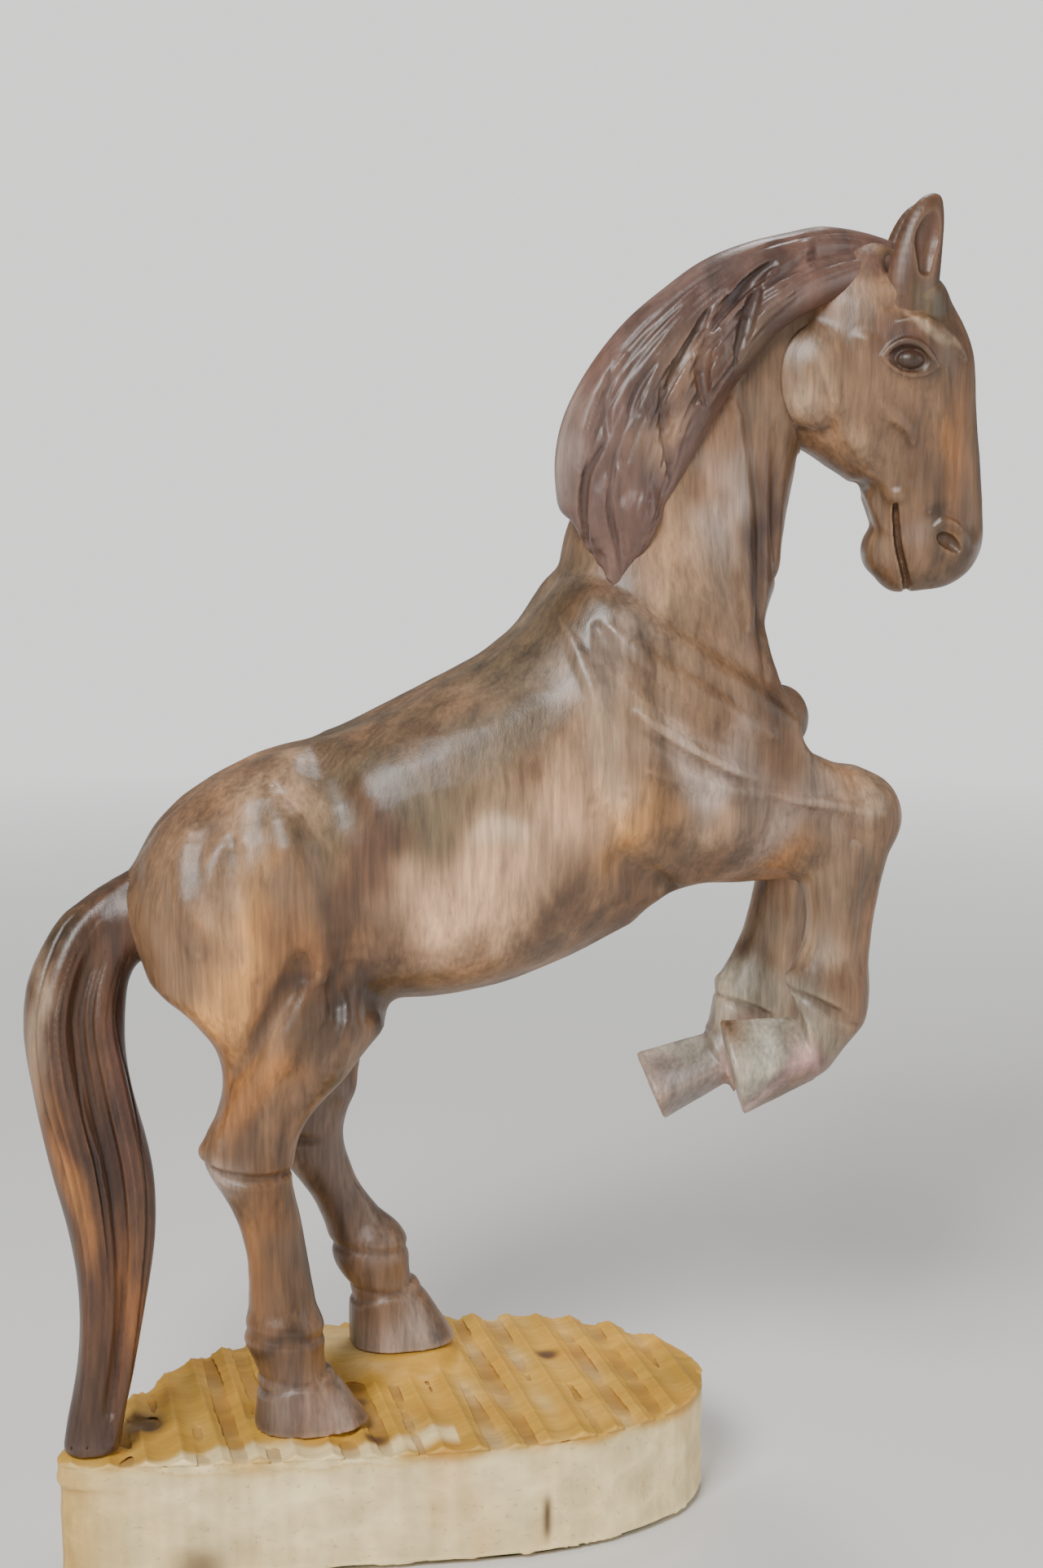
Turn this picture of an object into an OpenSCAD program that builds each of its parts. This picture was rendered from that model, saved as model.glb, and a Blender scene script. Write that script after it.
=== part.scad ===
// Carved wooden statue of a rearing horse on an oval slab.
// Built up from laminated and dowelled blocks, lag-screwed to its base.
// Origin: centre of the slab's underside. +X is the way the horse faces, its right side faces -Y.

/* [Base] */
// Thickness of the timber slab
base_t = 60; // [50:1:80]
// Thickness of the felt under the slab
felt_t = 2; // [1:0.5:4]
// How far the felt stays inside the slab's edge
felt_inset = 8; // [4:1:14]
// Distance between the gouge flutes on the top
flute_pitch = 17; // [14:1:24]
// Radius of the gouge that cut the flutes
flute_r = 14; // [12:1:20]
// Depth of each flute
flute_depth = 2.5; // [1:0.5:4]
// Lean of the flutes from square across the slab, in degrees
flute_lean = 3; // [0:1:12]
// Height of the raised spot under the left hind hoof
pad_h = 7; // [5:1:9]

/* [Figure] */
// Greatest width of the trunk
trunk_w = 120; // [110:1:130]
// Width of the neck where it meets the trunk
neck_w = 100; // [90:1:108]
// Width of the head across the cheeks
head_w = 66; // [60:1:72]
// How far the head turns to the horse's right, in degrees
head_turn = 14; // [0:1:18]
// Depth of the mane off the side of the neck
mane_t = 18; // [16:1:22]
// Distance from the middle of the neck to the flat that the mane is glued to
mane_seat = 24; // [22:1:26]
// Width of each hoof
hoof_w = 41; // [38:1:44]
// Width of the tail at its fullest
tail_w = 36; // [34:1:40]
// Thickness of each ear at its root
ear_t = 18; // [16:1:20]

/* [Joinery] */
// Diameter of the dowels in the heavy joints
big_dowel_d = 16; // [12:1:18]
// Diameter of the dowels in the middling joints
mid_dowel_d = 12; // [10:1:14]
// Diameter of the dowels in the slender joints
small_dowel_d = 8; // [6:1:9]
// Diameter of the dowels in the ears
ear_dowel_d = 6; // [4:1:7]
// Diameter of the lag screws that hold the hooves
lag_d = 10; // [8:1:10]
// Diameter of the screw that holds the tail
tail_screw_d = 6; // [5:1:6]
// Play between a dowel or screw and the wall of its hole
hole_play = 0.05; // [0.02:0.01:0.1]

/* [Hidden] */

// Heights in the tables below are above the slab's top, so the figure stands on it as one.
base_top = felt_t + base_t;
ring_n = 20;
blend_n = 2;
round_fn = 48;
end_gap = 1;

body_brown = "#8a6a52";
mane_brown = "#7a5a50";
tail_brown = "#6f4a42";
slab_gold = "#d9b877";
dowel_beech = "#e2c79b";
steel_grey = "#9a9ca0";
felt_green = "#3d5243";

// A cross-section runs from point a to point b in the XZ plane and is round across Y:
// [ax, az, bx, bz, middle y, width as a share of the block's own width].

trunk_sections = [
    [-117, 219, 1, 196, 0, 1.0],
    [-125, 246, 0, 201, 0, 0.97],
    [-118, 280, -1, 204, 0, 0.93],
    [-98, 305, 0, 205, 0, 0.91],
    [-60, 326, 6, 204, 0, 0.89],
    [-19, 337, 20, 202, 0, 0.89],
    [29, 360, 53, 207, 0, 0.97],
    [70, 386, 79, 215, 0, 1.0],
    [100, 430, 104, 225, 0, 1.0],
    [135, 438, 138, 241, 0, 0.98],
    [175, 418, 172, 252, 0, 0.95],
    [203, 378, 203, 254, 0, 0.9]
];

neck_sections = [
    [91, 412, 218, 331, 0, 1.0],
    [91, 427, 216, 344, 0, 0.94],
    [97, 444, 210, 358, 0, 0.86],
    [98, 464, 204, 375, 0, 0.76],
    [101, 484, 202, 399, 0, 0.68],
    [111, 507, 203, 423, 0, 0.62],
    [129, 529, 206, 444, 0, 0.58],
    [153, 549, 209, 459, 0, 0.56],
    [186, 567, 206, 469, 0, 0.54],
    [218, 576, 205, 475, 0, 0.52],
    [230, 577, 208.5, 474, 0, 0.52]
];

mane_sections = [
    [206, 573, 203, 544, 0, 0.66],
    [180, 570, 187, 521, 0, 0.83],
    [159, 562, 168, 498, 0, 0.94],
    [139, 549, 156, 478, 0, 1.0],
    [119, 534, 146, 460, 0, 1.0],
    [101, 513, 138, 444, 0, 1.0],
    [89, 490, 131, 430, 0, 0.94],
    [85, 467, 126, 419, 0, 0.83],
    [87, 444, 120, 410, 0, 0.66],
    [94, 425, 116, 404, 0, 0.44],
    [104, 410, 113, 402, 0, 0.22]
];

// The head as it would be facing straight ahead. turned() swings it to the horse's right.
head_sections = [
    [218, 576, 205, 475, 0, 0.79],
    [239, 574, 207, 473, 0, 0.91],
    [260, 568, 214, 469, 0, 1.0],
    [278, 553, 224, 462, 0, 1.0],
    [291, 533, 235, 455, 0, 0.91],
    [297, 517, 243, 449, 0, 0.82],
    [299, 491, 248, 443, 0, 0.67],
    [302, 463, 249, 437, 0, 0.58],
    [304, 439, 248, 427, 0, 0.58],
    [304, 422, 247, 416, 0, 0.61],
    [297, 409, 251, 405, 0, 0.48],
    [286, 402, 259, 399, 0, 0.27]
];

ear_sections = [
    [-12, 0, 12, 0, 0, 1.0],
    [-16, 11, 13, 10, 0, 1.0],
    [-10, 21, 13, 18, 0, 0.83],
    [-5, 31, 13, 27, 0, 0.61],
    [3, 39, 11, 39, 0, 0.28]
];

forearm_right_sections = [
    [203, 338, 203, 259, -31, 1.02],
    [221, 322, 205, 262, -32, 0.98],
    [239, 314, 207, 263.5, -33, 0.93],
    [250, 307, 208.5, 264.5, -34, 0.93],
    [254, 296, 210, 265, -34, 0.88]
];

forearm_left_sections = [
    [203, 338, 203, 259, 31, 1.02],
    [221, 321, 204.5, 260.5, 32, 0.98],
    [236, 312, 206, 260, 33, 0.93],
    [246, 301, 207, 258.7, 34, 0.93],
    [250, 290, 208, 257, 34, 0.88]
];

foreleg_right_sections = [
    [254, 296, 210, 265, -34, 0.88],
    [254, 282, 207, 260, -34, 0.93],
    [249, 264, 207, 253, -34, 0.83],
    [245, 245, 208, 243, -34, 0.73],
    [243, 228, 207, 229, -34, 0.68],
    [242, 214, 202, 217, -34, 0.73],
    [241, 200, 198, 208, -34, 0.78],
    [240, 187, 202, 198, -34, 0.76],
    [233, 178, 203, 194, -34, 0.73],
    [223, 171, 199, 191, -34, 0.73],
    [218, 162, 190, 190, -34, 0.83],
    [206, 152, 181, 188, -34, 0.93],
    [193, 144, 173, 184, -34, 0.98],
    [180, 138, 168, 178, -34, 0.98]
];

foreleg_left_sections = [
    [250, 290, 208, 257, 34, 0.88],
    [247, 272, 205, 250, 34, 0.9],
    [241, 254, 203, 242, 34, 0.83],
    [235, 236, 200, 230, 34, 0.73],
    [231, 219, 196, 217, 34, 0.68],
    [229, 203, 190, 204, 34, 0.73],
    [226, 188, 182, 191, 34, 0.78],
    [221, 177, 181, 181, 34, 0.76],
    [215, 168, 179, 172, 34, 0.73],
    [207, 152, 178, 165, 34, 0.73],
    [197, 136, 173, 163, 34, 0.83],
    [187, 125, 168, 161, 34, 0.93],
    [171, 117, 156, 158, 34, 0.98],
    [156, 112, 146, 154, 34, 0.98]
];

hind_leg_right_sections = [
    [-117, 219, 1, 196, -31, 1.41],
    [-97, 202, -13, 185, -33, 1.32],
    [-85, 186, -20, 174, -34, 1.17],
    [-84, 167, -35, 161, -36, 0.93],
    [-90, 151, -45, 148, -37, 0.78],
    [-95, 141, -48, 134, -38, 0.73],
    [-92, 129, -50, 123, -38, 0.73],
    [-80, 108, -46, 106, -38, 0.59],
    [-74, 83, -42, 81, -38, 0.59],
    [-74, 56, -38, 54, -38, 0.68],
    [-74, 44, -37, 42, -38, 0.73],
    [-69, 34, -36, 31, -38, 0.68],
    [-69, 22, -34, 18, -38, 0.78],
    [-72, 10, -25, 7, -38, 0.93],
    [-74, 0, -19, 0, -38, 1.0]
];

hind_leg_left_sections = [
    [-117, 219, 1, 196, 31, 1.41],
    [-88, 200, -4, 184, 32, 1.32],
    [-72, 183, -6, 168, 33, 1.17],
    [-60, 164, -8, 154, 34, 0.93],
    [-60, 146, -12, 138, 35, 0.78],
    [-64, 134, -16, 122, 35, 0.73],
    [-58, 120, -14, 112, 35, 0.73],
    [-44, 102, -7, 93, 35, 0.61],
    [-32, 84, 6, 76, 35, 0.61],
    [-25, 62, 15, 56, 35, 0.68],
    [-23, 50, 16, 46, 35, 0.73],
    [-14, 40, 18, 38, 35, 0.68],
    [-11, 31, 27, 29, 35, 0.78],
    [-13, 22, 33, 19, 35, 0.93],
    [-15, pad_h, 37, pad_h, 35, 1.0]
];

tail_sections = [
    [-119, 273, -119, 227, 0, 0.89],
    [-138, 261, -124, 218, -2, 0.94],
    [-154, 252, -126, 207, -5, 0.94],
    [-165, 237, -127, 191, -9, 1.0],
    [-173, 219, -126, 176, -13, 1.0],
    [-175, 196, -123, 161, -17, 1.0],
    [-172, 173, -119, 146, -21, 1.0],
    [-168, 150, -116, 131, -25, 0.94],
    [-163, 127, -115, 116, -29, 0.89],
    [-158, 108, -116, 97, -33, 0.83],
    [-154, 85, -120, 74, -37, 0.78],
    [-153, 62, -125, 52, -41, 0.72],
    [-155, 40, -130, 29, -45, 0.67],
    [-160, 17, -134, 10, -48, 0.61],
    [-163, 0, -135, 0, -50, 0.61]
];

// The slab's outline: points that the edge curves smoothly through.
slab_points = [
    [-164, -56], [-152, -24], [-128, 12], [-94, 53], [-40, 78], [40, 83],
    [112, 66], [152, 28], [163, -18], [136, -59], [70, -81], [-20, -78], [-116, -67]
];

// How finely the slab's edge and the ears are drawn
edge_n = 5;
ear_ring_n = 16;

// The flutes across the slab's top, and the flats left standing between them for the right hind
// hoof and the tail, each [x, y, radius]
flute_count = 20;
flute_len = 400;
foot_flats = [[-47, -38, 32], [-149, -46, 16]];

// The raised spot under the left hind hoof: its shift ahead of the screw, and its radii at the
// bottom and at the top
pad_shift = 5;
pad_r = [40, 31];

// Lengths of the dowels in each joint
big_dowel_len = 56;
mid_dowel_len = 44;
knee_dowel_len = 28;
tail_dowel_len = 36;
ear_dowel_len = 22;

// Where dowels cross their joint faces, as shares of the way from edge to edge
neck_dowel_shares = [0.25, 0.58];
neck_dowel_y = 18;
head_dowel_shares = [0.3, 0.7];
hind_dowel_shares = [0.55, 0.75];
tail_dowel_share = 0.6;

// Where the dowels cross the middle of the trunk, each [x, z]
trunk_dowel_spots = [[-70, 262], [20, 285], [105, 310], [150, 300]];
trunk_dowel_len = 60;

// Dowels from the mane into the neck, each [x, z]
mane_dowel_spots = [[158, 522], [126, 492], [114, 455]];
mane_dowel_len = 20;

// The upright axis that the head turns about, and the ear seats on the unturned head, each
// [x, y]: the right ear, then the left
poll_x = 211;
ear_seats = [[267, -20], [267, 20]];
ear_seat_z = 552;
ear_seat_r = 17.5;

// Screws up through the slab, each [x, y]
hoof_spots = [[-50, -38], [6, 35]];
tail_spot = [-148, -49];
lag_reach = [44, 38];
tail_reach = 30;
lag_head_h = 7;
lag_head_d = 18;
lag_recess_d = 26;
recess_depth = 16;
washer_t = 2;
washer_d = 24;
tail_head_d = 12;
tail_head_h = 4;
tail_recess_d = 14;

// Catmull-Rom interpolation from p1 to p2, with p0 and p3 as their outer neighbours
function curve_at(p0, p1, p2, p3, t) =
    p1 + 0.5 * t * (p2 - p0 + t * (2 * p0 - 5 * p1 + 4 * p2 - p3 + t * (3 * p1 - p0 - 3 * p2 + p3)));

// An open curve through all of a list's entries, n steps between neighbours
function open_curve(list, n) = let (last = len(list) - 1) [
    for (i = [0 : last - 1])
        for (k = [0 : n - 1])
            curve_at(list[max(i - 1, 0)], list[i], list[i + 1], list[min(i + 2, last)], k / n),
    list[last]
];

// A closed curve through all of a list's entries
function closed_curve(list, n) = let (m = len(list)) [
    for (i = [0 : m - 1])
        for (k = [0 : n - 1])
            curve_at(list[(i + m - 1) % m], list[i], list[(i + 1) % m], list[(i + 2) % m], k / n)
];

// Cosine or sine bulged outwards, so that a section is a little squarer than an ellipse
function bulged(v, fullness) = sign(v) * pow(abs(v), 2 / fullness);

// The point of section s at angle a, in a block of the given width
function section_point(s, a, width, fullness) =
    let (u = bulged(cos(a), fullness))
    [
        (s[0] + s[2]) / 2 + u * (s[0] - s[2]) / 2,
        s[4] + bulged(sin(a), fullness) * s[5] * width / 2,
        (s[1] + s[3]) / 2 + u * (s[1] - s[3]) / 2
    ];

// A solid through a list of sections. The angles run from a0 to a1, so that 0 to 180 gives the
// half on the +Y side, closed by a flat; a full turn gives the whole block.
module loft(sections, width, a0 = 0, a1 = 360, fullness = 2.3, n = blend_n, sides = ring_n) {
    rows = open_curve(sections, n);
    whole = a1 - a0 == 360;
    steps = whole ? sides : sides / 2;
    count = whole ? steps : steps + 1;
    last = len(rows) - 1;
    points = [
        for (s = rows)
            for (k = [0 : count - 1])
                section_point(s, a0 + (a1 - a0) * k / steps, width, fullness)
    ];
    walls = [
        for (i = [0 : last - 1])
            for (k = [0 : count - 1])
                let (k2 = (k + 1) % count, p = i * count, q = p + count)
                each [[p + k, q + k, q + k2], [p + k, q + k2, p + k2]]
    ];
    first_cap = [for (k = [0 : count - 1]) k];
    last_cap = [for (k = [count - 1 : -1 : 0]) last * count + k];
    polyhedron(points, concat(walls, [first_cap, last_cap]), convexity = 10);
}

// Moves from heights above the slab's top to heights above the ground
module on_slab() {
    translate([0, 0, base_top]) children();
}

// Places children on the joint face between section points a and b, at a share of the way from a
// to b, with their Z axis square to the face
module on_face(s, share, y) {
    tilt = atan2(s[3] - s[1], s[2] - s[0]);
    translate([s[0] + share * (s[2] - s[0]), y, s[1] + share * (s[3] - s[1])])
        rotate([0, -tilt, 0])
            children();
}

// Swings the head's parts about the poll
module turned() {
    translate([poll_x, 0, 0])
        rotate([0, 0, -head_turn])
            translate([-poll_x, 0, 0])
                children();
}

// A dowel, or with play its hole, centred on a joint
module dowel(d, length) {
    cylinder(h = length, d = d, center = true, $fn = round_fn);
}

module dowel_hole(d, length) {
    dowel(d + 2 * hole_play, length + 2 * end_gap);
}

// Positions of each set of dowels. Each draws its children at every place.
module at_trunk_dowels() {
    for (spot = trunk_dowel_spots)
        translate([spot[0], 0, spot[1]])
            rotate([90, 0, 0]) children();
}

module at_neck_dowels() {
    for (share = neck_dowel_shares)
        for (y = [-neck_dowel_y, neck_dowel_y])
            on_face(neck_sections[0], share, y) children();
}

module at_mane_dowels() {
    for (spot = mane_dowel_spots)
        translate([spot[0], -mane_seat, spot[1]])
            rotate([90, 0, 0]) children();
}

module at_head_dowels() {
    turned()
        for (share = head_dowel_shares)
            on_face(head_sections[0], share, 0) children();
}

module at_ear_dowel(side) {
    turned()
        translate([ear_seats[side][0], ear_seats[side][1], ear_seat_z])
            children();
}

module at_forearm_dowel(sections) {
    on_face(sections[0], 0.5, sections[0][4]) children();
}

module at_knee_dowel(sections) {
    on_face(sections[0], 0.5, sections[0][4]) children();
}

module at_hind_leg_dowels(sections) {
    for (share = hind_dowel_shares)
        on_face(sections[0], share, sections[0][4]) children();
}

module at_tail_dowel() {
    on_face(tail_sections[0], tail_dowel_share, 0) children();
}

// --- slab ---

module slab_outline() {
    polygon(closed_curve(slab_points, edge_n));
}

module flutes() {
    for (k = [0 : flute_count - 1])
        translate([(k + 0.5 - flute_count / 2) * flute_pitch, 0, base_top + flute_r - flute_depth])
            rotate([90, 0, flute_lean])
                cylinder(h = flute_len, r = flute_r, center = true, $fn = round_fn);
}

module hoof_pad() {
    translate([hoof_spots[1][0] + pad_shift, hoof_spots[1][1], base_top - flute_depth - 1])
        cylinder(h = pad_h + flute_depth + 1, r1 = pad_r[0], r2 = pad_r[1], $fn = round_fn);
}

module foot_flat(spot) {
    translate([spot[0], spot[1], base_top - flute_depth - 1])
        cylinder(h = flute_depth + 1, r = spot[2], $fn = round_fn);
}

module base() {
    color(slab_gold)
        difference() {
            union() {
                difference() {
                    translate([0, 0, felt_t])
                        linear_extrude(base_t) slab_outline();
                    flutes();
                }
                intersection() {
                    union() {
                        hoof_pad();
                        for (spot = foot_flats) foot_flat(spot);
                    }
                    linear_extrude(base_top + pad_h) slab_outline();
                }
            }
            for (spot = hoof_spots)
                translate([spot[0], spot[1], 0]) {
                    cylinder(h = base_top + pad_h + 1, d = lag_d + 2 * hole_play, $fn = round_fn);
                    cylinder(h = felt_t + recess_depth, d = lag_recess_d, $fn = round_fn);
                }
            translate([tail_spot[0], tail_spot[1], 0]) {
                cylinder(h = base_top + 1, d = tail_screw_d + 2 * hole_play, $fn = round_fn);
                cylinder(h = felt_t + recess_depth, d = tail_recess_d, $fn = round_fn);
            }
        }
}

module felt_sheet() {
    color(felt_green)
        linear_extrude(felt_t)
            polygon([
                for (p = closed_curve(slab_points, edge_n))
                    p * (1 - felt_inset / norm(p))
            ]);
}

// --- trunk ---

module trunk_half(a0, a1) {
    difference() {
        loft(trunk_sections, trunk_w, a0, a1, fullness = 2.6);
        on_face(neck_sections[0], 0.5, 0)
            translate([-150, -100, 0]) cube([300, 200, 150]);
        translate([-160, -20, 224]) cube([41, 40, 51]);
        at_trunk_dowels() dowel_hole(big_dowel_d, trunk_dowel_len);
        at_neck_dowels() dowel_hole(big_dowel_d, big_dowel_len);
        at_forearm_dowel(forearm_right_sections) dowel_hole(mid_dowel_d, mid_dowel_len);
        at_forearm_dowel(forearm_left_sections) dowel_hole(mid_dowel_d, mid_dowel_len);
        at_hind_leg_dowels(hind_leg_right_sections) dowel_hole(mid_dowel_d, mid_dowel_len);
        at_hind_leg_dowels(hind_leg_left_sections) dowel_hole(mid_dowel_d, mid_dowel_len);
        at_tail_dowel() dowel_hole(mid_dowel_d, tail_dowel_len);
    }
}

module trunk_right() {
    color(body_brown) on_slab() trunk_half(180, 360);
}

module trunk_left() {
    color(body_brown) on_slab() trunk_half(0, 180);
}

// --- neck, mane, head and ears ---

module mane_pocket() {
    rows = open_curve(mane_sections, blend_n);
    outer = [for (s = rows) [s[0], s[1]]];
    inner = [for (i = [len(rows) - 1 : -1 : 0]) [rows[i][2], rows[i][3]]];
    translate([0, -mane_seat, 0])
        rotate([90, 0, 0])
            linear_extrude(neck_w) polygon(concat(outer, inner));
}

module neck() {
    color(body_brown)
        on_slab()
            difference() {
                loft(neck_sections, neck_w);
                turned()
                    on_face(head_sections[0], 0.5, 0)
                        translate([-90, -70, 0]) cube([142, 140, 60]);
                mane_pocket();
                at_neck_dowels() dowel_hole(big_dowel_d, big_dowel_len);
                at_mane_dowels() dowel_hole(small_dowel_d, mane_dowel_len);
                at_head_dowels() dowel_hole(mid_dowel_d, mid_dowel_len);
            }
}

module mane() {
    color(mane_brown)
        on_slab()
            difference() {
                translate([0, -mane_seat, 0])
                    loft(mane_sections, 2 * mane_t, 180, 360);
                at_mane_dowels() dowel_hole(small_dowel_d, mane_dowel_len);
            }
}

module head() {
    color(body_brown)
        on_slab()
            difference() {
                turned() loft(head_sections, head_w);
                at_head_dowels() dowel_hole(mid_dowel_d, mid_dowel_len);
                for (side = [0, 1])
                    at_ear_dowel(side) {
                        cylinder(h = 40, r = ear_seat_r, $fn = round_fn);
                        dowel_hole(ear_dowel_d, ear_dowel_len);
                    }
            }
}

module ear(side) {
    color(body_brown)
        on_slab()
            difference() {
                at_ear_dowel(side) loft(ear_sections, ear_t, sides = ear_ring_n);
                at_ear_dowel(side) dowel_hole(ear_dowel_d, ear_dowel_len);
            }
}

module ear_right() {
    ear(0);
}

module ear_left() {
    ear(1);
}

// --- legs ---

module forearm(sections, knee) {
    color(body_brown)
        on_slab()
            difference() {
                loft(sections, hoof_w);
                at_forearm_dowel(sections) dowel_hole(mid_dowel_d, mid_dowel_len);
                at_knee_dowel(knee) dowel_hole(small_dowel_d, knee_dowel_len);
            }
}

module forearm_right() {
    forearm(forearm_right_sections, foreleg_right_sections);
}

module forearm_left() {
    forearm(forearm_left_sections, foreleg_left_sections);
}

module foreleg(sections) {
    color(body_brown)
        on_slab()
            difference() {
                loft(sections, hoof_w);
                at_knee_dowel(sections) dowel_hole(small_dowel_d, knee_dowel_len);
            }
}

module foreleg_right() {
    foreleg(foreleg_right_sections);
}

module foreleg_left() {
    foreleg(foreleg_left_sections);
}

module hind_leg(sections, side) {
    color(body_brown)
        on_slab()
            difference() {
                loft(sections, hoof_w);
                at_hind_leg_dowels(sections) dowel_hole(mid_dowel_d, mid_dowel_len);
                translate([hoof_spots[side][0], hoof_spots[side][1], -1])
                    cylinder(h = 1 + lag_reach[side] + end_gap, d = lag_d + 2 * hole_play, $fn = round_fn);
            }
}

module hind_leg_right() {
    hind_leg(hind_leg_right_sections, 0);
}

module hind_leg_left() {
    hind_leg(hind_leg_left_sections, 1);
}

// --- tail ---

module tail() {
    color(tail_brown)
        on_slab()
            difference() {
                loft(tail_sections, tail_w);
                at_tail_dowel() dowel_hole(mid_dowel_d, tail_dowel_len);
                translate([tail_spot[0], tail_spot[1], -1])
                    cylinder(h = 1 + tail_reach + end_gap, d = tail_screw_d + 2 * hole_play, $fn = round_fn);
            }
}

// --- dowels ---

module trunk_dowels() {
    color(dowel_beech) on_slab() at_trunk_dowels() dowel(big_dowel_d, trunk_dowel_len);
}

module neck_dowels() {
    color(dowel_beech) on_slab() at_neck_dowels() dowel(big_dowel_d, big_dowel_len);
}

module mane_dowels() {
    color(dowel_beech) on_slab() at_mane_dowels() dowel(small_dowel_d, mane_dowel_len);
}

module head_dowels() {
    color(dowel_beech) on_slab() at_head_dowels() dowel(mid_dowel_d, mid_dowel_len);
}

module ear_dowels() {
    color(dowel_beech)
        on_slab()
            for (side = [0, 1])
                at_ear_dowel(side) dowel(ear_dowel_d, ear_dowel_len);
}

module forearm_dowels() {
    color(dowel_beech)
        on_slab() {
            at_forearm_dowel(forearm_right_sections) dowel(mid_dowel_d, mid_dowel_len);
            at_forearm_dowel(forearm_left_sections) dowel(mid_dowel_d, mid_dowel_len);
        }
}

module knee_dowels() {
    color(dowel_beech)
        on_slab() {
            at_knee_dowel(foreleg_right_sections) dowel(small_dowel_d, knee_dowel_len);
            at_knee_dowel(foreleg_left_sections) dowel(small_dowel_d, knee_dowel_len);
        }
}

module hind_leg_dowels() {
    color(dowel_beech)
        on_slab() {
            at_hind_leg_dowels(hind_leg_right_sections) dowel(mid_dowel_d, mid_dowel_len);
            at_hind_leg_dowels(hind_leg_left_sections) dowel(mid_dowel_d, mid_dowel_len);
        }
}

module tail_dowel() {
    color(dowel_beech) on_slab() at_tail_dowel() dowel(mid_dowel_d, tail_dowel_len);
}

// --- screws and washers ---

// Underside of a screw's head, where it bears in its recess
bearing_z = felt_t + recess_depth;

module lag_screw(reach) {
    tip = 8;
    translate([0, 0, -lag_head_h]) cylinder(h = lag_head_h, d = lag_head_d, $fn = 6);
    cylinder(h = reach - tip, d = lag_d, $fn = round_fn);
    translate([0, 0, reach - tip]) cylinder(h = tip, d1 = lag_d, d2 = lag_d / 4, $fn = round_fn);
}

module hoof_screws() {
    color(steel_grey)
        for (side = [0, 1])
            translate([hoof_spots[side][0], hoof_spots[side][1], bearing_z - washer_t])
                lag_screw(base_top + lag_reach[side] - bearing_z + washer_t);
}

module screw_washers() {
    color(steel_grey)
        for (spot = hoof_spots)
            translate([spot[0], spot[1], bearing_z - washer_t])
                difference() {
                    cylinder(h = washer_t, d = washer_d, $fn = round_fn);
                    translate([0, 0, -1])
                        cylinder(h = washer_t + 2, d = lag_d + 2 * hole_play, $fn = round_fn);
                }
}

module tail_screw() {
    tip = 6;
    reach = base_top + tail_reach - bearing_z;
    color(steel_grey)
        translate([tail_spot[0], tail_spot[1], bearing_z]) {
            translate([0, 0, -tail_head_h]) cylinder(h = tail_head_h, d = tail_head_d, $fn = round_fn);
            cylinder(h = reach - tip, d = tail_screw_d, $fn = round_fn);
            translate([0, 0, reach - tip])
                cylinder(h = tip, d1 = tail_screw_d, d2 = tail_screw_d / 4, $fn = round_fn);
        }
}

base();
felt_sheet();
trunk_right();
trunk_left();
neck();
mane();
head();
ear_right();
ear_left();
forearm_right();
forearm_left();
foreleg_right();
foreleg_left();
hind_leg_right();
hind_leg_left();
tail();
trunk_dowels();
neck_dowels();
mane_dowels();
head_dowels();
ear_dowels();
forearm_dowels();
knee_dowels();
hind_leg_dowels();
tail_dowel();
hoof_screws();
screw_washers();
tail_screw();
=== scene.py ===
"""Carved wooden statue of a rearing horse on a gouged timber slab: the visual model.

The horse is carved in code. The CAD blocks are turned into grids of signed distances, muscles, locks
and features are laid on or cut into them, and the result is meshed and sawn into the same blocks.
All carving is in millimetres in the CAD frame. A place on a block is written as a pair of percent
shares of that block's box, along X and up Z, and its depth is found on the clay itself.
"""
import math

import bmesh
import bpy
import numpy as np
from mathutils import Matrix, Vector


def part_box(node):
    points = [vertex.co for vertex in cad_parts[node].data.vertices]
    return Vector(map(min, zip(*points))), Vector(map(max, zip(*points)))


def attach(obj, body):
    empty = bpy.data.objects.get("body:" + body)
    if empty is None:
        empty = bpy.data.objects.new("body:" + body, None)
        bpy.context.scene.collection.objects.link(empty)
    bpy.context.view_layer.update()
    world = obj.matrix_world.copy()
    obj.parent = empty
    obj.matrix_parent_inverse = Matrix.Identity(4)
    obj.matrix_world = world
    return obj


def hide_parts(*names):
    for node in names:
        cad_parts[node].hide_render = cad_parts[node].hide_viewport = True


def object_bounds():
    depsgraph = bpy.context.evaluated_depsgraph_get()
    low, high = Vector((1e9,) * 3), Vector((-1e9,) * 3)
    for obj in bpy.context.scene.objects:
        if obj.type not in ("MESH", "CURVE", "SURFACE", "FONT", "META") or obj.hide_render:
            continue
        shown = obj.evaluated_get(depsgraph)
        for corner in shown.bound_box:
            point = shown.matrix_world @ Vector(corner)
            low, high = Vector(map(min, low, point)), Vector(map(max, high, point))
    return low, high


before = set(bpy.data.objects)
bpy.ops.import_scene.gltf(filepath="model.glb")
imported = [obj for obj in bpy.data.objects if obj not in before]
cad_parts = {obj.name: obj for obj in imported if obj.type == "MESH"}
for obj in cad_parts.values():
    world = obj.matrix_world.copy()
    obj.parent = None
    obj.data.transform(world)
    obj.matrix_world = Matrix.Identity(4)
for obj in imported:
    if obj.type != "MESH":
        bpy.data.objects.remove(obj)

import openvdb
from mathutils import Vector

CAD_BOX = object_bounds()
MM = 0.001
# Grid steps of the clay, and how far from its surface distances are kept, in mm
COARSE = 2.5
SHARP = 0.8
SLAB_STEP = 1.0
BAND = 14.0
# The side of the middle plane that something faces, as the sign of its y
RIGHT, LEFT = -1, 1
HANDS = {"right": RIGHT, "left": LEFT}


# ---------------------------------------------------------------- reading the frame

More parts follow.
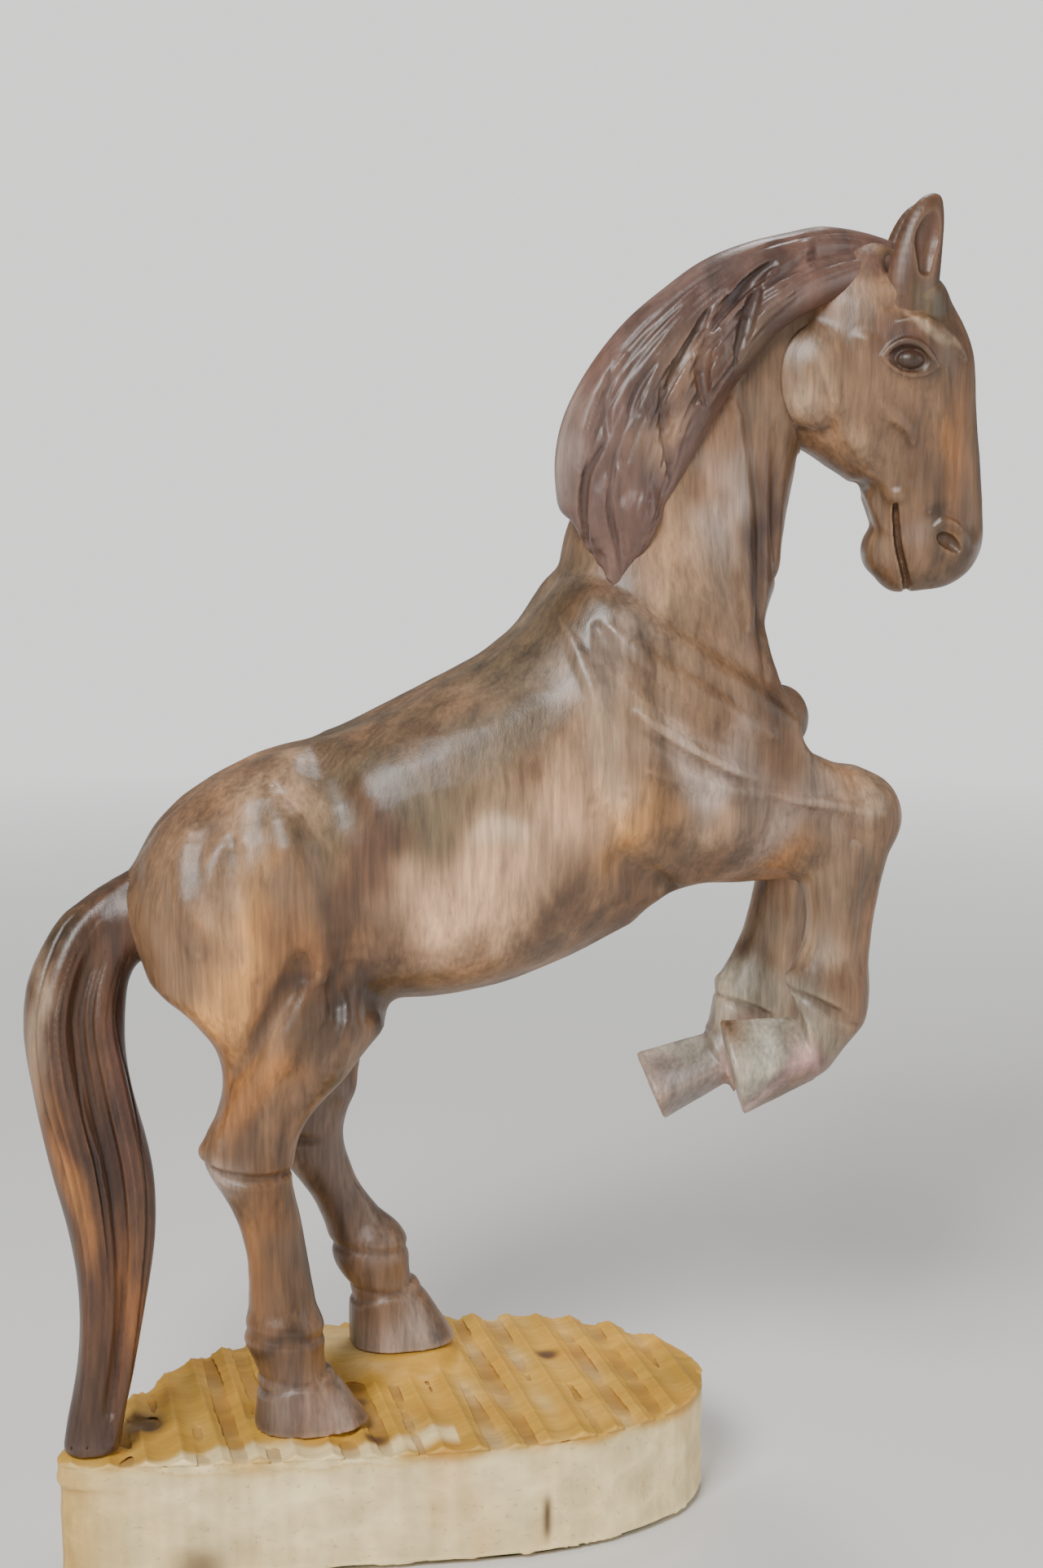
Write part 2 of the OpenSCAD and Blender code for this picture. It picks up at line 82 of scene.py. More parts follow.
def node_mesh(name):
    """Vertices in mm and triangles of a CAD node."""
    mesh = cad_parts[name].data
    mesh.calc_loop_triangles()
    points = np.zeros(len(mesh.vertices) * 3, np.float32)
    mesh.vertices.foreach_get("co", points)
    triangles = np.zeros(len(mesh.loop_triangles) * 3, np.int32)
    mesh.loop_triangles.foreach_get("vertices", triangles)
    return points.reshape(-1, 3) / MM, triangles.reshape(-1, 3).astype(np.uint32)


def node_box(name):
    low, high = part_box(name)
    return np.array(low) / MM, np.array(high) / MM


def place(box, u, w, y=None):
    """The point at percent shares u along X and w up Z of a box, at mid depth or at the given y."""
    low, high = box
    middle = (low[1] + high[1]) / 2 if y is None else y
    return np.array([low[0] + u / 100 * (high[0] - low[0]), middle, low[2] + w / 100 * (high[2] - low[2])])


def rods_of(name):
    """Each separate rod of a dowel node as (centre, unit axis, length, radius)."""
    points, triangles = node_mesh(name)
    keys, index = np.unique(np.round(points, 3), axis=0, return_inverse=True)
    group = np.arange(len(keys))
    links = index.reshape(-1)[triangles]
    while True:
        low = group[links].min(axis=1)
        before = group.copy()
        for k in range(3):
            np.minimum.at(group, links[:, k], low)
        group = group[group]
        if (group == before).all():
            break
    rods = []
    for g in np.unique(group):
        cloud = keys[group == g]
        centre = cloud.mean(0)
        _, _, axes = np.linalg.svd(cloud - centre, full_matrices=False)
        along = (cloud - centre) @ axes[0]
        centre = centre + axes[0] * (along.max() + along.min()) / 2
        away = cloud - centre
        away = away - np.outer(away @ axes[0], axes[0])
        rods.append((centre, axes[0], float(np.ptp(along)), float(np.linalg.norm(away, axis=1).max())))
    return rods


# ---------------------------------------------------------------- clay: a grid of distances

def smooth_min(a, b, k):
    if k <= 0:
        return np.minimum(a, b)
    h = np.maximum(k - np.abs(a - b), 0) / k
    return np.minimum(a, b) - h * h * k * 0.25


def smooth_max(a, b, k):
    return -smooth_min(-a, -b, k)


def blurred(d, passes):
    """Runs of a 1-2-1 average along each axis, in place."""
    for _ in range(passes):
        for axis in range(3):
            view = np.moveaxis(d, axis, 0)
            mixed = (view[:-2] + view[2:]) * 0.25 + view[1:-1] * 0.5
            view[1:-1] = mixed
    return d


class Clay:
    """Signed distances in mm on a regular grid, negative inside."""

    def __init__(self, low, high, voxel):
        self.voxel = voxel
        self.start = np.floor(np.array(low) / voxel).astype(int)
        self.count = np.ceil(np.array(high) / voxel).astype(int) - self.start + 1
        self.d = np.full(tuple(self.count), BAND, np.float32)

    def window(self, low, high):
        a = np.clip(np.floor(np.array(low) / self.voxel).astype(int) - self.start, 0, self.count)
        b = np.clip(np.ceil(np.array(high) / self.voxel).astype(int) - self.start + 1, 0, self.count)
        return tuple(slice(i, j) for i, j in zip(a, b))

    def axes(self, window):
        lines = [(np.arange(s.start, s.stop) + o) * self.voxel for s, o in zip(window, self.start)]
        return (lines[0].astype(np.float32)[:, None, None], lines[1].astype(np.float32)[None, :, None],
                lines[2].astype(np.float32)[None, None, :])

    def apply(self, shape, change, margin):
        """change(old distances, shape's distances) over the shape's box grown by margin."""
        window = self.window(shape.low - margin, shape.high + margin)
        if any(s.stop <= s.start for s in window):
            return
        view = self.d[window]
        view[...] = change(view, shape.distance(*self.axes(window)))

    def add(self, shape, blend=0.0):
        self.apply(shape, lambda old, new: smooth_min(old, new, blend), blend + 2 * self.voxel)

    def cut(self, shape, blend=0.0):
        self.apply(shape, lambda old, new: smooth_max(old, -new, blend), blend + 2 * self.voxel)

    def add_mesh(self, points, triangles, blend=0.0):
        """Joins a closed mesh."""
        window, block = self.level_set(points, triangles)
        self.d[window] = smooth_min(self.d[window], block, blend)

    def level_set(self, points, triangles):
        """A closed mesh's distances, and the part of the grid that they are for."""
        transform = openvdb.createLinearTransform(voxelSize=self.voxel)
        grid = openvdb.FloatGrid.createLevelSetFromPolygons(
            points.astype(np.float32), triangles=triangles, transform=transform, halfWidth=BAND / self.voxel)
        margin = BAND + 2 * self.voxel
        window = self.window(points.min(0) - margin, points.max(0) + margin)
        block = np.zeros([s.stop - s.start for s in window], np.float32)
        corner = tuple(int(s.start + o) for s, o in zip(window, self.start))
        grid.copyToArray(block, ijk=corner)
        return window, block

    def surface_y(self, x, z, side, reach):
        """The y of the surface met first when coming from that side, within a reach (low y, high y)."""
        i = int(np.clip(round(x / self.voxel) - self.start[0], 0, self.count[0] - 1))
        k = int(np.clip(round(z / self.voxel) - self.start[2], 0, self.count[2] - 1))
        j0, j1 = (int(np.clip(round(y / self.voxel) - self.start[1], 0, self.count[1])) for y in reach)
        line = self.d[i, j0:j1, k][::-side]
        inside = np.nonzero(line < 0)[0]
        j = float(line.argmin())
        if len(inside):
            j = int(inside[0])
            if j > 0:
                j = j - line[j] / (line[j] - line[j - 1])
        index = j0 + j if side < 0 else j1 - 1 - j
        return (index + self.start[1]) * self.voxel

    def trim(self, point, axis, low, high):
        """Takes away what lies beyond a plane, along its axis, within a box."""
        axis = np.array(axis, float) / np.linalg.norm(axis)
        window = self.window(low, high)
        x, y, z = self.axes(window)
        beyond = (x - point[0]) * axis[0] + (y - point[1]) * axis[1] + (z - point[2]) * axis[2]
        self.d[window] = np.maximum(self.d[window], beyond)

    def pinch(self, centre, axis, width, depth, reach):
        """A groove all round a limb, across an axis; a depth below zero leaves a collar instead."""
        centre, axis = np.array(centre, float), np.array(axis, float)
        axis = axis / np.linalg.norm(axis)
        window = self.window(centre - reach, centre + reach)
        x, y, z = (line - c for line, c in zip(self.axes(window), centre))
        along = x * axis[0] + y * axis[1] + z * axis[2]
        self.d[window] += depth * np.exp(-(along / width) ** 2)

    def halved(self):
        """The same clay on a grid of half the voxel size."""
        d = self.d
        for axis in range(3):
            view = np.moveaxis(d, axis, 0)
            fine = np.empty((2 * view.shape[0] - 1,) + view.shape[1:], np.float32)
            fine[::2] = view
            fine[1::2] = (view[:-1] + view[1:]) / 2
            d = np.moveaxis(fine, 0, axis)
        finer = Clay((0, 0, 0), (0, 0, 0), self.voxel / 2)
        finer.start, finer.count, finer.d = self.start * 2, np.array(d.shape), np.ascontiguousarray(d)
        return finer

    def chisel(self, size, depth, stretch, seed, low, high):
        """Shallow tool hollows: cells of a jittered lattice, deepest at their middles, within a box."""
        window = self.window(low, high)
        view = self.d[window]
        near = np.nonzero(np.abs(view) < 2.2 * self.voxel)
        x, y, z = self.axes(window)
        points = np.stack([x.ravel()[near[0]], y.ravel()[near[1]], z.ravel()[near[2]]], 1)
        points = points @ np.array(stretch, np.float32).T / size
        cell = np.floor(points).astype(np.int64)
        best = np.full(len(points), 9.0, np.float32)
        for shift in np.ndindex(3, 3, 3):
            there = cell + np.array(shift) - 1
            key = there @ np.array([73856093, 19349663, 83492791]) + seed
            jitter = np.stack([((key * m) >> 7) % 1024 / 1023.0 for m in (40503, 69069, 30011)], 1)
            away = points - there - 0.15 - 0.7 * jitter
            np.minimum(best, (away * away).sum(1), out=best)
        view[near] += depth * (1 - np.minimum(best, 1)).astype(np.float32)

    def mesh(self):
        grid = openvdb.FloatGrid(BAND)
        grid.copyFromArray(np.minimum(self.d, BAND), ijk=tuple(int(v) for v in self.start))
        grid.transform = openvdb.createLinearTransform(voxelSize=self.voxel)
        return grid.convertToQuads(0.0)

    def sample(self, points):
        """Distances at points, between the grid's values."""
        spots = points / self.voxel - self.start
        base = np.clip(np.floor(spots).astype(int), 0, self.count - 2)
        part = np.clip(spots - base, 0, 1)
        total = np.zeros(len(points))
        for corner in np.ndindex(2, 2, 2):
            weight = np.prod(np.where(corner, part, 1 - part), axis=1)
            total += weight * self.d[tuple((base + corner).T)]
        return total


# ---------------------------------------------------------------- shapes

class Ball:
    """An ellipsoid. turn holds its three axes as rows."""

    def __init__(self, centre, radii, turn=None):
        self.centre, self.radii = np.array(centre, float), np.array(radii, float)
        self.turn = np.eye(3) if turn is None else np.array(turn, float)
        reach = np.sqrt(((self.turn * self.radii[:, None]) ** 2).sum(0))
        self.low, self.high = self.centre - reach, self.centre + reach

    def distance(self, x, y, z):
        x, y, z = x - self.centre[0], y - self.centre[1], z - self.centre[2]
        first, second = 0.0, 0.0
        for row, r in zip(self.turn, self.radii):
            part = x * row[0] + y * row[1] + z * row[2]
            first = first + (part / r) ** 2
            second = second + (part / (r * r)) ** 2
        first = np.sqrt(first)
        return first * (first - 1) / np.maximum(np.sqrt(second), 1e-6)


class Rod:
    """A chain of rounded bars through points, with a radius at each. flat below 1 thins it across y."""

    def __init__(self, points, radii, flat=1.0):
        self.points = [np.array(p, float) for p in points]
        count = len(self.points)
        self.radii = [float(r) for r in (radii if hasattr(radii, "__len__") else [radii] * count)]
        self.flat = flat
        stack, reach = np.array(self.points), max(self.radii) * max(1.0, flat)
        self.low, self.high = stack.min(0) - reach, stack.max(0) + reach

    def distance(self, x, y, z):
        lines = [x.ravel(), y.ravel(), z.ravel()]
        best = np.full([len(line) for line in lines], BAND, np.float32)
        for a, b, ra, rb in zip(self.points, self.points[1:], self.radii, self.radii[1:]):
            reach = max(ra, rb) * max(1.0, self.flat) + BAND
            low, high = np.minimum(a, b) - reach, np.maximum(a, b) + reach
            part = tuple(slice(*np.searchsorted(line, (l, h))) for line, l, h in zip(lines, low, high))
            ab = b - a
            px, py, pz = x[part[0]] - a[0], y[:, part[1]] - a[1], z[:, :, part[2]] - a[2]
            t = np.clip((px * ab[0] + py * ab[1] + pz * ab[2]) / max(ab @ ab, 1e-9), 0, 1)
            py = (py - t * ab[1]) / self.flat
            off = np.sqrt((px - t * ab[0]) ** 2 + py ** 2 + (pz - t * ab[2]) ** 2)
            best[part] = np.minimum(best[part], off - (ra + (rb - ra) * t))
        return best


class Hoof:
    """A tapered block with flat ends, from the coronet to the sole. Each end has its half size in
    profile and across."""

    def __init__(self, coronet, sole, top, bottom, squareness=2.8, bevel=3.0):
        self.a, self.b = np.array(coronet, float), np.array(sole, float)
        self.length = float(np.linalg.norm(self.b - self.a))
        self.axis = (self.b - self.a) / self.length
        self.across = np.cross(self.axis, (0, 1, 0))
        self.top, self.bottom, self.squareness, self.bevel = top, bottom, squareness, bevel
        reach = max(*top, *bottom) + 2
        self.low, self.high = np.minimum(self.a, self.b) - reach, np.maximum(self.a, self.b) + reach

    def distance(self, x, y, z):
        p = (x - self.a[0], y - self.a[1], z - self.a[2])
        along = sum(c * v for c, v in zip(p, self.axis))
        u = sum(c * v for c, v in zip(p, self.across))
        t = np.clip(along / self.length, 0, 1)
        v = p[1] - along * self.axis[1]
        half_u = self.top[0] + (self.bottom[0] - self.top[0]) * t
        half_v = self.top[1] + (self.bottom[1] - self.top[1]) * t
        n = self.squareness
        ring = (np.abs(u / half_u) ** n + np.abs(v / half_v) ** n) ** (1 / n)
        side = (ring - 1) * np.minimum(half_u, half_v)
        return smooth_max(side, np.abs(along - self.length / 2) - self.length / 2, self.bevel)


def tilted(degrees):
    """Axes of a shape whose length is tilted up from X by an angle, in profile."""
    c, s = math.cos(math.radians(degrees)), math.sin(math.radians(degrees))
    return [(c, 0, s), (0, 1, 0), (-s, 0, c)]


def curve(points, steps=4):
    """A Catmull-Rom curve through points, as more points."""
    points = [np.array(p, float) for p in points]
    last, out = len(points) - 1, []
    for i in range(last):
        p0, p1, p2, p3 = points[max(i - 1, 0)], points[i], points[i + 1], points[min(i + 2, last)]
        for k in range(steps):
            t = k / steps
            bend = 2 * p0 - 5 * p1 + 4 * p2 - p3 + t * (3 * p1 - p0 - 3 * p2 + p3)
            out.append(p1 + 0.5 * t * (p2 - p0 + t * bend))
    out.append(points[last])
    return out


# ---------------------------------------------------------------- strokes laid on a surface

def reach_of(box):
    """The y range searched for a block's surface."""
    spare = 6.0
    return box[0][1] - spare, box[1][1] + spare


def stroke(clay, box, shares, side, radius, rise, ends=(0.05, 0.05)):
    """A bar along the surface that stands rise proud of it, or below zero is sunk that deep."""
    line = curve([place(box, *share[:2]) for share in shares])
    reach = reach_of(box)
    points, radii = [], []
    deep = max(1.0, abs(rise) / (1.5 * radius))
    for i, point in enumerate(line):
        t = i / (len(line) - 1)
        swell = math.sin(math.pi * t) ** 0.7 if 0 < t < 1 else 0.0
        end = ends[0] + (ends[1] - ends[0]) * t
        share = end + (1 - end) * swell
        r = radius * share
        sink = (r * deep - abs(rise) * share) * (-1 if rise > 0 else 1)
        y = clay.surface_y(point[0], point[2], side, reach)
        points.append((point[0], y + side * sink, point[2]))
        radii.append(r)
    return Rod(points, radii, deep)


def ridge(clay, box, shares, side, radius, rise, blend=3.0, ends=(0.05, 0.05)):
    clay.add(stroke(clay, box, shares, side, radius, rise, ends), blend)


def groove(clay, box, shares, side, radius, depth, blend=1.5, ends=(0.05, 0.05)):
    clay.cut(stroke(clay, box, shares, side, radius, -depth, ends), blend)


def bulge(clay, box, share, size, tilt, rise, blend, side):
    """A muscle: a ball of size (long, thick, wide) standing rise proud of the surface."""
    x, _, z = place(box, *share)
    y = clay.surface_y(x, z, side, reach_of(box)) + side * (rise - size[1])
    clay.add(Ball((x, y, z), size, tilted(tilt)), blend)


def hollow(clay, box, share, size, tilt, depth, blend, side):
    """A dip: a ball of size (long, thick, wide) sunk to a depth below the surface."""
    x, _, z = place(box, *share)
    y = clay.surface_y(x, z, side, reach_of(box)) + side * (size[1] - depth)
    clay.cut(Ball((x, y, z), size, tilted(tilt)), blend)


# ---------------------------------------------------------------- meshes

def make_object(name, points, faces, material=None):
    mesh = bpy.data.meshes.new(name)
    mesh.vertices.add(len(points))
    mesh.vertices.foreach_set("co", (np.asarray(points, np.float32) * MM).ravel())
    size = faces.shape[1]
    mesh.loops.add(faces.size)
    mesh.loops.foreach_set("vertex_index", faces.astype(np.int32).ravel())
    mesh.polygons.add(len(faces))
    mesh.polygons.foreach_set("loop_start", np.arange(0, faces.size, size, dtype=np.int32))
    mesh.polygons.foreach_set("loop_total", np.full(len(faces), size, np.int32))
    mesh.update(calc_edges=True)
    mesh.validate()
    mesh.polygons.foreach_set("use_smooth", np.ones(len(faces), bool))
    if material:
        mesh.materials.append(material)
    obj = bpy.data.objects.new(name, mesh)
    bpy.context.scene.collection.objects.link(obj)
    return obj


# ---------------------------------------------------------------- the body

# Muscles on both sides of a block: (share), (long, thick, wide), tilt, rise, blend
TRUNK_MUSCLES = [
    ((77, 64), (46, 16, 32), -42, 2.2, 14),
    ((84, 45), (27, 14, 17), -10, 3.2, 9),
    ((18, 49), (11, 9, 10), 15, 1.0, 7),
    ((19, 26), (34, 14, 44), -12, 2.0, 14),
    ((50, 42), (80, 24, 52), 22, 1.0, 30),
]
# Lines on both sides: (kind, shares, radius, rise or depth, blend)
TRUNK_LINES = [
    ("groove", [(67, 88), (69.5, 77), (71, 66), (70.5, 52)], 8, 2.2, 5),
    ("ridge", [(62.5, 90), (65, 79.5), (66.5, 70), (66.5, 54)], 4, 1.8, 3),
    ("ridge", [(69, 88), (74.5, 80), (83.5, 71), (88.5, 66.5), (94, 63)], 7, 2.8, 4),
    ("groove", [(68, 83), (76, 72.5), (86, 62.5)], 5, 2.6, 3),
    ("ridge", [(72, 70), (79, 63), (82.5, 59.5), (91, 54)], 4.5, 3.0, 3),
    ("groove", [(73, 65.5), (82, 57), (90, 52)], 4, 2.6, 2),
    ("ridge", [(74, 57), (82, 53.5), (92, 50)], 5, 1.4, 4),
    ("groove", [(70, 37), (75.5, 31.5), (81, 27.5)], 3, 3.2, 2),
    ("groove", [(66, 50), (71, 36), (80, 28)], 9, 2.0, 7),
    ("groove", [(27, 62), (30, 42), (31, 26), (31, 12)], 17, 3.2, 10),
    ("ridge", [(20, 54), (23, 36), (26.5, 14)], 9, 1.8, 7),
    ("groove", [(14, 44), (13, 30), (17, 14)], 8, 1.4, 6),
    ("ridge", [(9, 46), (7.5, 34), (9, 20)], 8, 1.2, 6),
]
NECK_LINES = [
    ("groove", [(63, 70), (68, 50), (71, 32), (70, 12)], 5, 2.8, 3),
    ("groove", [(76, 62), (79, 45), (81.5, 30), (78, 14)], 4, 2.6, 3),
    ("ridge", [(58, 66), (62, 46), (63, 22)], 9, 1.6, 6),
]
HIND_LEG_LINES = [
    ("groove", [(60, 108), (52, 98), (41, 88), (33, 81)], 8, 4.2, 7),
    ("ridge", [(66, 104), (50, 87), (37, 75), (27, 66)], 8, 2.2, 5),
    ("groove", [(69, 92), (58, 80), (53, 68)], 7, 2.0, 5),
    ("groove", [(50, 52), (54, 40), (54, 28)], 5, 0.9, 4),
]
STIFLE_LINES = [
    ("ridge", [(80, 104), (77, 92), (69, 81)], 7, 1.5, 5),
    ("groove", [(72, 104), (73, 94), (66, 84)], 3.5, 2.0, 3),
]
FORELEG_LINES = [
    ("ridge", [(68, 92), (68, 72), (66, 52)], 5, 1.4, 3),
    ("groove", [(82, 90), (80, 70), (77, 48)], 5, 1.0, 3),
]
FOREARM_LINES = [
    ("ridge", [(-45, 60), (3, 52), (40, 47), (80, 43)], 4, 2.2, 3),
    ("groove", [(-20, 45), (20, 38), (60, 32)], 7, 1.2, 5),
]
# Each hoof's middle at the coronet and at the sole, and how far the sole is swung across
FORE_HOOVES = {"right": ((49.7, 21.8), (4.9, 15.2), 7.0), "left": ((37, 21.5), (2.1, 12.9), 5.0)}
HIND_HOOVES = {"right": ((55.5, 9.8), (60.5, 0)), "left": ((78, 13), (83.3, 0))}
# How far the far hock stands from the near one, in shares of the leg's box
HOCK_SHIFT = {"right": (0.0, 0.0), "left": (15.0, -4.0)}
BODY_BLOCKS = [
    ("trunk_right", 0), ("trunk_left", 0), ("neck", 6), ("forearm_right", 14), ("forearm_left", 14),
    ("hind_leg_right", 10), ("hind_leg_left", 10), ("foreleg_right", 3), ("foreleg_left", 3), ("head", 4),
]


def mirrored(points, triangles):
    return points * np.array([1, -1, 1], np.float32), triangles[:, ::-1].copy()


def carve_lines(clay, box, lines, side):
    for kind, shares, radius, rise, blend in lines:
        work = ridge if kind == "ridge" else groove
        work(clay, box, shares, side, radius, rise, blend)


def rough_body():
    """The blocks run together and softened, on the coarse grid."""
    low = np.min([node_box(name)[0] for name, _ in BODY_BLOCKS], axis=0)
    high = np.max([node_box(name)[1] for name, _ in BODY_BLOCKS], axis=0)
    clay = Clay(low - 12, high + 12, COARSE)
    for name, blend in BODY_BLOCKS:
        clay.add_mesh(*node_mesh(name), blend)
    clay.add_mesh(*mirrored(*node_mesh("neck")), 0)
    for name in [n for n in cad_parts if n.endswith(("dowels", "dowel"))]:
        for centre, axis, length, radius in rods_of(name):
            half = axis * (length / 2 - 2)
            clay.add(Rod([centre - half, centre + half], radius + 2))
    blurred(clay.d, 6)
    return clay


def carve_foreleg(clay, hand):
    """Knee, ergot, pastern and hoof of one foreleg."""
    box, arm = node_box("foreleg_" + hand), node_box("forearm_" + hand)
    leg_y = (box[0][1] + box[1][1]) / 2
    top_share, sole_share, swing = FORE_HOOVES[hand]
    coronet, sole = place(box, *top_share, leg_y), place(box, *sole_share, leg_y + swing)
    clay.trim(coronet, sole - coronet, coronet - (75, 25, 60), coronet + (30, 26, 26))
    for side in (RIGHT, LEFT):
        carve_lines(clay, box, FORELEG_LINES, side)
    carve_lines(clay, arm, FOREARM_LINES, HANDS[hand])
    clay.add(Ball(place(box, 84, 97), (14, 15.5, 16), tilted(35)), 8)
    clay.add(Ball(place(box, 62, 40), (18, 14, 15)), 8)
    clay.add(Rod([place(box, 60, 43), place(box, 38, 45)], (8, 3.0)), 5)
    if hand == "left":
        clay.add(Rod([place(box, 73, 79), place(box, 70, 40)], 11), 8)
    for side in (RIGHT, LEFT):
        groove(clay, box, [(34, 41.5), (50, 37.5), (68, 31.5), (80, 30)], side, 3.5, 3.2, 1.5)
    clay.add(Rod([place(box, 68, 33), coronet], (13, 14.5)), 5)
    girth = (17, 26) if hand == "right" else (15, 20.5)
    clay.add(Hoof(coronet, sole, (girth[0], 17), (girth[1], 22), 1.35, 2.0), 1.0)


def carve_hind_leg(clay, hand):
    """Gaskin, hock, fetlock and hoof of one hind leg."""
    box = node_box("hind_leg_" + hand)
    points, _ = node_mesh("hind_leg_" + hand)
    low = box[0][2]
    leg_y = points[points[:, 2] < low + 1][:, 1].mean()
    coronet, sole = (place(box, *share, leg_y) for share in HIND_HOOVES[hand])
    clay.trim(coronet, (0, 0, -1), coronet - (45, 26, 45), coronet + (60, 26, 2))
    du, dw = HOCK_SHIFT[hand]
    lines = []
    for kind, line, *size in HIND_LEG_LINES:
        near_hock = [min(1, max(0, (100 - w) / 30)) for _, w in line]
        lines.append((kind, [(u + du * t, w + dw * t) for (u, w), t in zip(line, near_hock)], *size))
    for side in (RIGHT, LEFT):
        carve_lines(clay, box, lines, side)
    if hand == "right":
        carve_lines(clay, box, STIFLE_LINES, RIGHT)
    hock = [place(box, u + du, w + dw, leg_y) for u, w in ((46, 71), (31, 66), (21.5, 64))]
    clay.add(Rod(hock, (13, 9.5, 3.4)), 5)
    line = [(u + du, w + dw) for u, w in ((20, 61.5), (28, 59.5), (42, 58.5), (60, 59))]
    for side in (RIGHT, LEFT):
        groove(clay, box, line if hand == "right" else line[:3], side, 3.2, 2.6, 1.5)
    ankle = coronet + (-4, 0, 25)
    clay.add(Ball(ankle, (18.5 if hand == "right" else 16, 15.5, 13)), 8)
    clay.add(Rod([ankle, coronet], (15.5, 15)), 6)
    clay.pinch(ankle + (0, 0, 1), (0.1, 0, 1), 2.6, 1.4, 26)
    deep = sole + (sole - coronet) * 0.4
    clay.add(Hoof(coronet + (0, 0, 2), deep, (18.5, 17.5), (30.5, 23), 2.3, 2.5), 1.0)
    clay.pinch(coronet + (0, 0, 3.5), (0.15, 0, 1), 1.8, 0.8, 24)
    clay.trim(sole, (0, 0, -1), sole - (60, 40, 30), sole + (60, 40, 4))


def body_clay():
    clay = rough_body()
    clay = clay.halved()
    trunk, neck = node_box("trunk_right"), node_box("neck")
    trunk = (trunk[0], trunk[1] * np.array([1, 0, 1]) + np.array([0, -trunk[0][1], 0]))
    clay.cut(Ball(place(neck, 98, 18, 0), (31, 60, 34)), 12)
    clay.cut(Ball(place(trunk, 84.7, 18.5, 0), (28, 80, 21)), 8)
    for side in (RIGHT, LEFT):
        chest_top = [place(trunk, 102.8, 64.5, side * 34), place(trunk, 107, 61.5, side * 34)]
        clay.cut(Rod(chest_top, (14, 13), 2.5), 4)
    for side in (RIGHT, LEFT):
        clay.add(Ball(place(trunk, 98.5, 65.3, side * 18), (14, 17, 17)), 5)
        for share, size, tilt, rise, blend in TRUNK_MUSCLES:
            bulge(clay, trunk, share, size, tilt, rise, blend, side)
        carve_lines(clay, trunk, TRUNK_LINES, side)
        carve_lines(clay, neck, NECK_LINES, side)
    tail_seat = rods_of("tail_dowel")[0][0]
    clay.add(Rod([tail_seat + (20, 0, 8), tail_seat + (-6, 0, 4)], (26, 17)), 12)
    for hand in HANDS:
        carve_hind_leg(clay, hand)
        carve_foreleg(clay, hand)
    return clay


# ---------------------------------------------------------------- the head

# Lines and muscles on both sides of the head, in shares of the head's box before it is turned
CHEEK, CHEEK_SIZE, CHEEK_RISE = (14, 60.5), (24, 13, 26), 3.6
HEAD_MUSCLES = [
    ((60, 66), (20, 12, 17), 0, 1.6, 8),
    ((36, 69.5), (9, 7, 5), -20, 1.0, 3),
    ((60, 30), (20, 10, 26), 0, 0.8, 10),
    ((80, 14.5), (13, 9, 10), -10, 1.6, 5),
    ((47, 12), (8, 9, 11), 0, 1.6, 5),
    ((60, 82), (15, 12, 11), 0, 3.0, 8),
]
HEAD_LINES = [
    ("ridge", [(23, 53), (31, 45), (40, 37)], 8, 2.0, 4),
    ("groove", [(9, 62), (15.5, 53), (19, 46)], 4.5, 1.6, 3),
    ("ridge", [(43, 53), (52, 47.5), (61, 41)], 3.8, 1.8, 3),
    ("groove", [(48, 46), (55, 41), (60, 34)], 5, 1.2, 3),
    ("groove", [(66.5, 56), (68, 38.5), (68.5, 24)], 5.5, 1.4, 4),
    ("ridge", [(74, 62), (76.5, 40), (79, 24)], 4, 1.5, 3),
    ("groove", [(46, 79), (54.5, 80), (66, 78.5)], 3.5, 1.8, 3),
    ("groove", [(33, 30), (42, 28), (49, 20)], 5, 1.6, 4),
]
EYE = (56.5, 64.6)
EYE_SOCKET = (12.0, 8.0, 7.6)
EYEBALL_R = 6.8
UPPER_LID = [(43, 65.2), (47, 67.8), (52, 69.3), (57, 69.4), (62, 68.2), (66.5, 65.6), (70, 62.8)]
LOWER_LID = [(43, 65.2), (47, 62.8), (52, 61), (57, 60.3), (62, 60.5), (66.5, 61.4), (70, 62.8)]
BROW = [(50, 74.6), (60, 75), (68.5, 73), (76.5, 70), (86, 65)]
MOUTH = [(53, 25), (54, 19), (55.6, 13), (58, 8), (60.5, 3), (62, -1)]
MOUTH_CORNER = (54.5, 28)
NOSTRIL = [(74.5, 16.5), (79, 15.2), (84.5, 12.6)]
NOSTRIL_RIM = [(72, 18.5), (77.5, 20.6), (85, 19)]


class HeadTurn:
    """The head's own upright plane, found from its dowels: turned about an upright line at the poll."""

    def __init__(self):
        centre, axis, _, _ = max(rods_of("head_dowels"), key=lambda rod: rod[0][2])
        self.axis = axis if axis[0] > 0 else -axis
        self.angle = -math.atan2(self.axis[1], self.axis[0])
        self.pivot = np.array([centre[0] - centre[1] * self.axis[0] / self.axis[1], 0.0, 0.0])
        self.seat = centre

    def rotated(self, points, angle):
        c, s = math.cos(angle), math.sin(angle)
        turn = np.array([(c, -s, 0), (s, c, 0), (0, 0, 1)])
        return ((np.asarray(points) - self.pivot) @ turn.T + self.pivot).astype(np.float32)

    def straight(self, points):
        """From the frame to the head's own plane, as if it faced forwards."""
        return self.rotated(points, self.angle)

    def turned(self, points):
        return self.rotated(points, -self.angle)


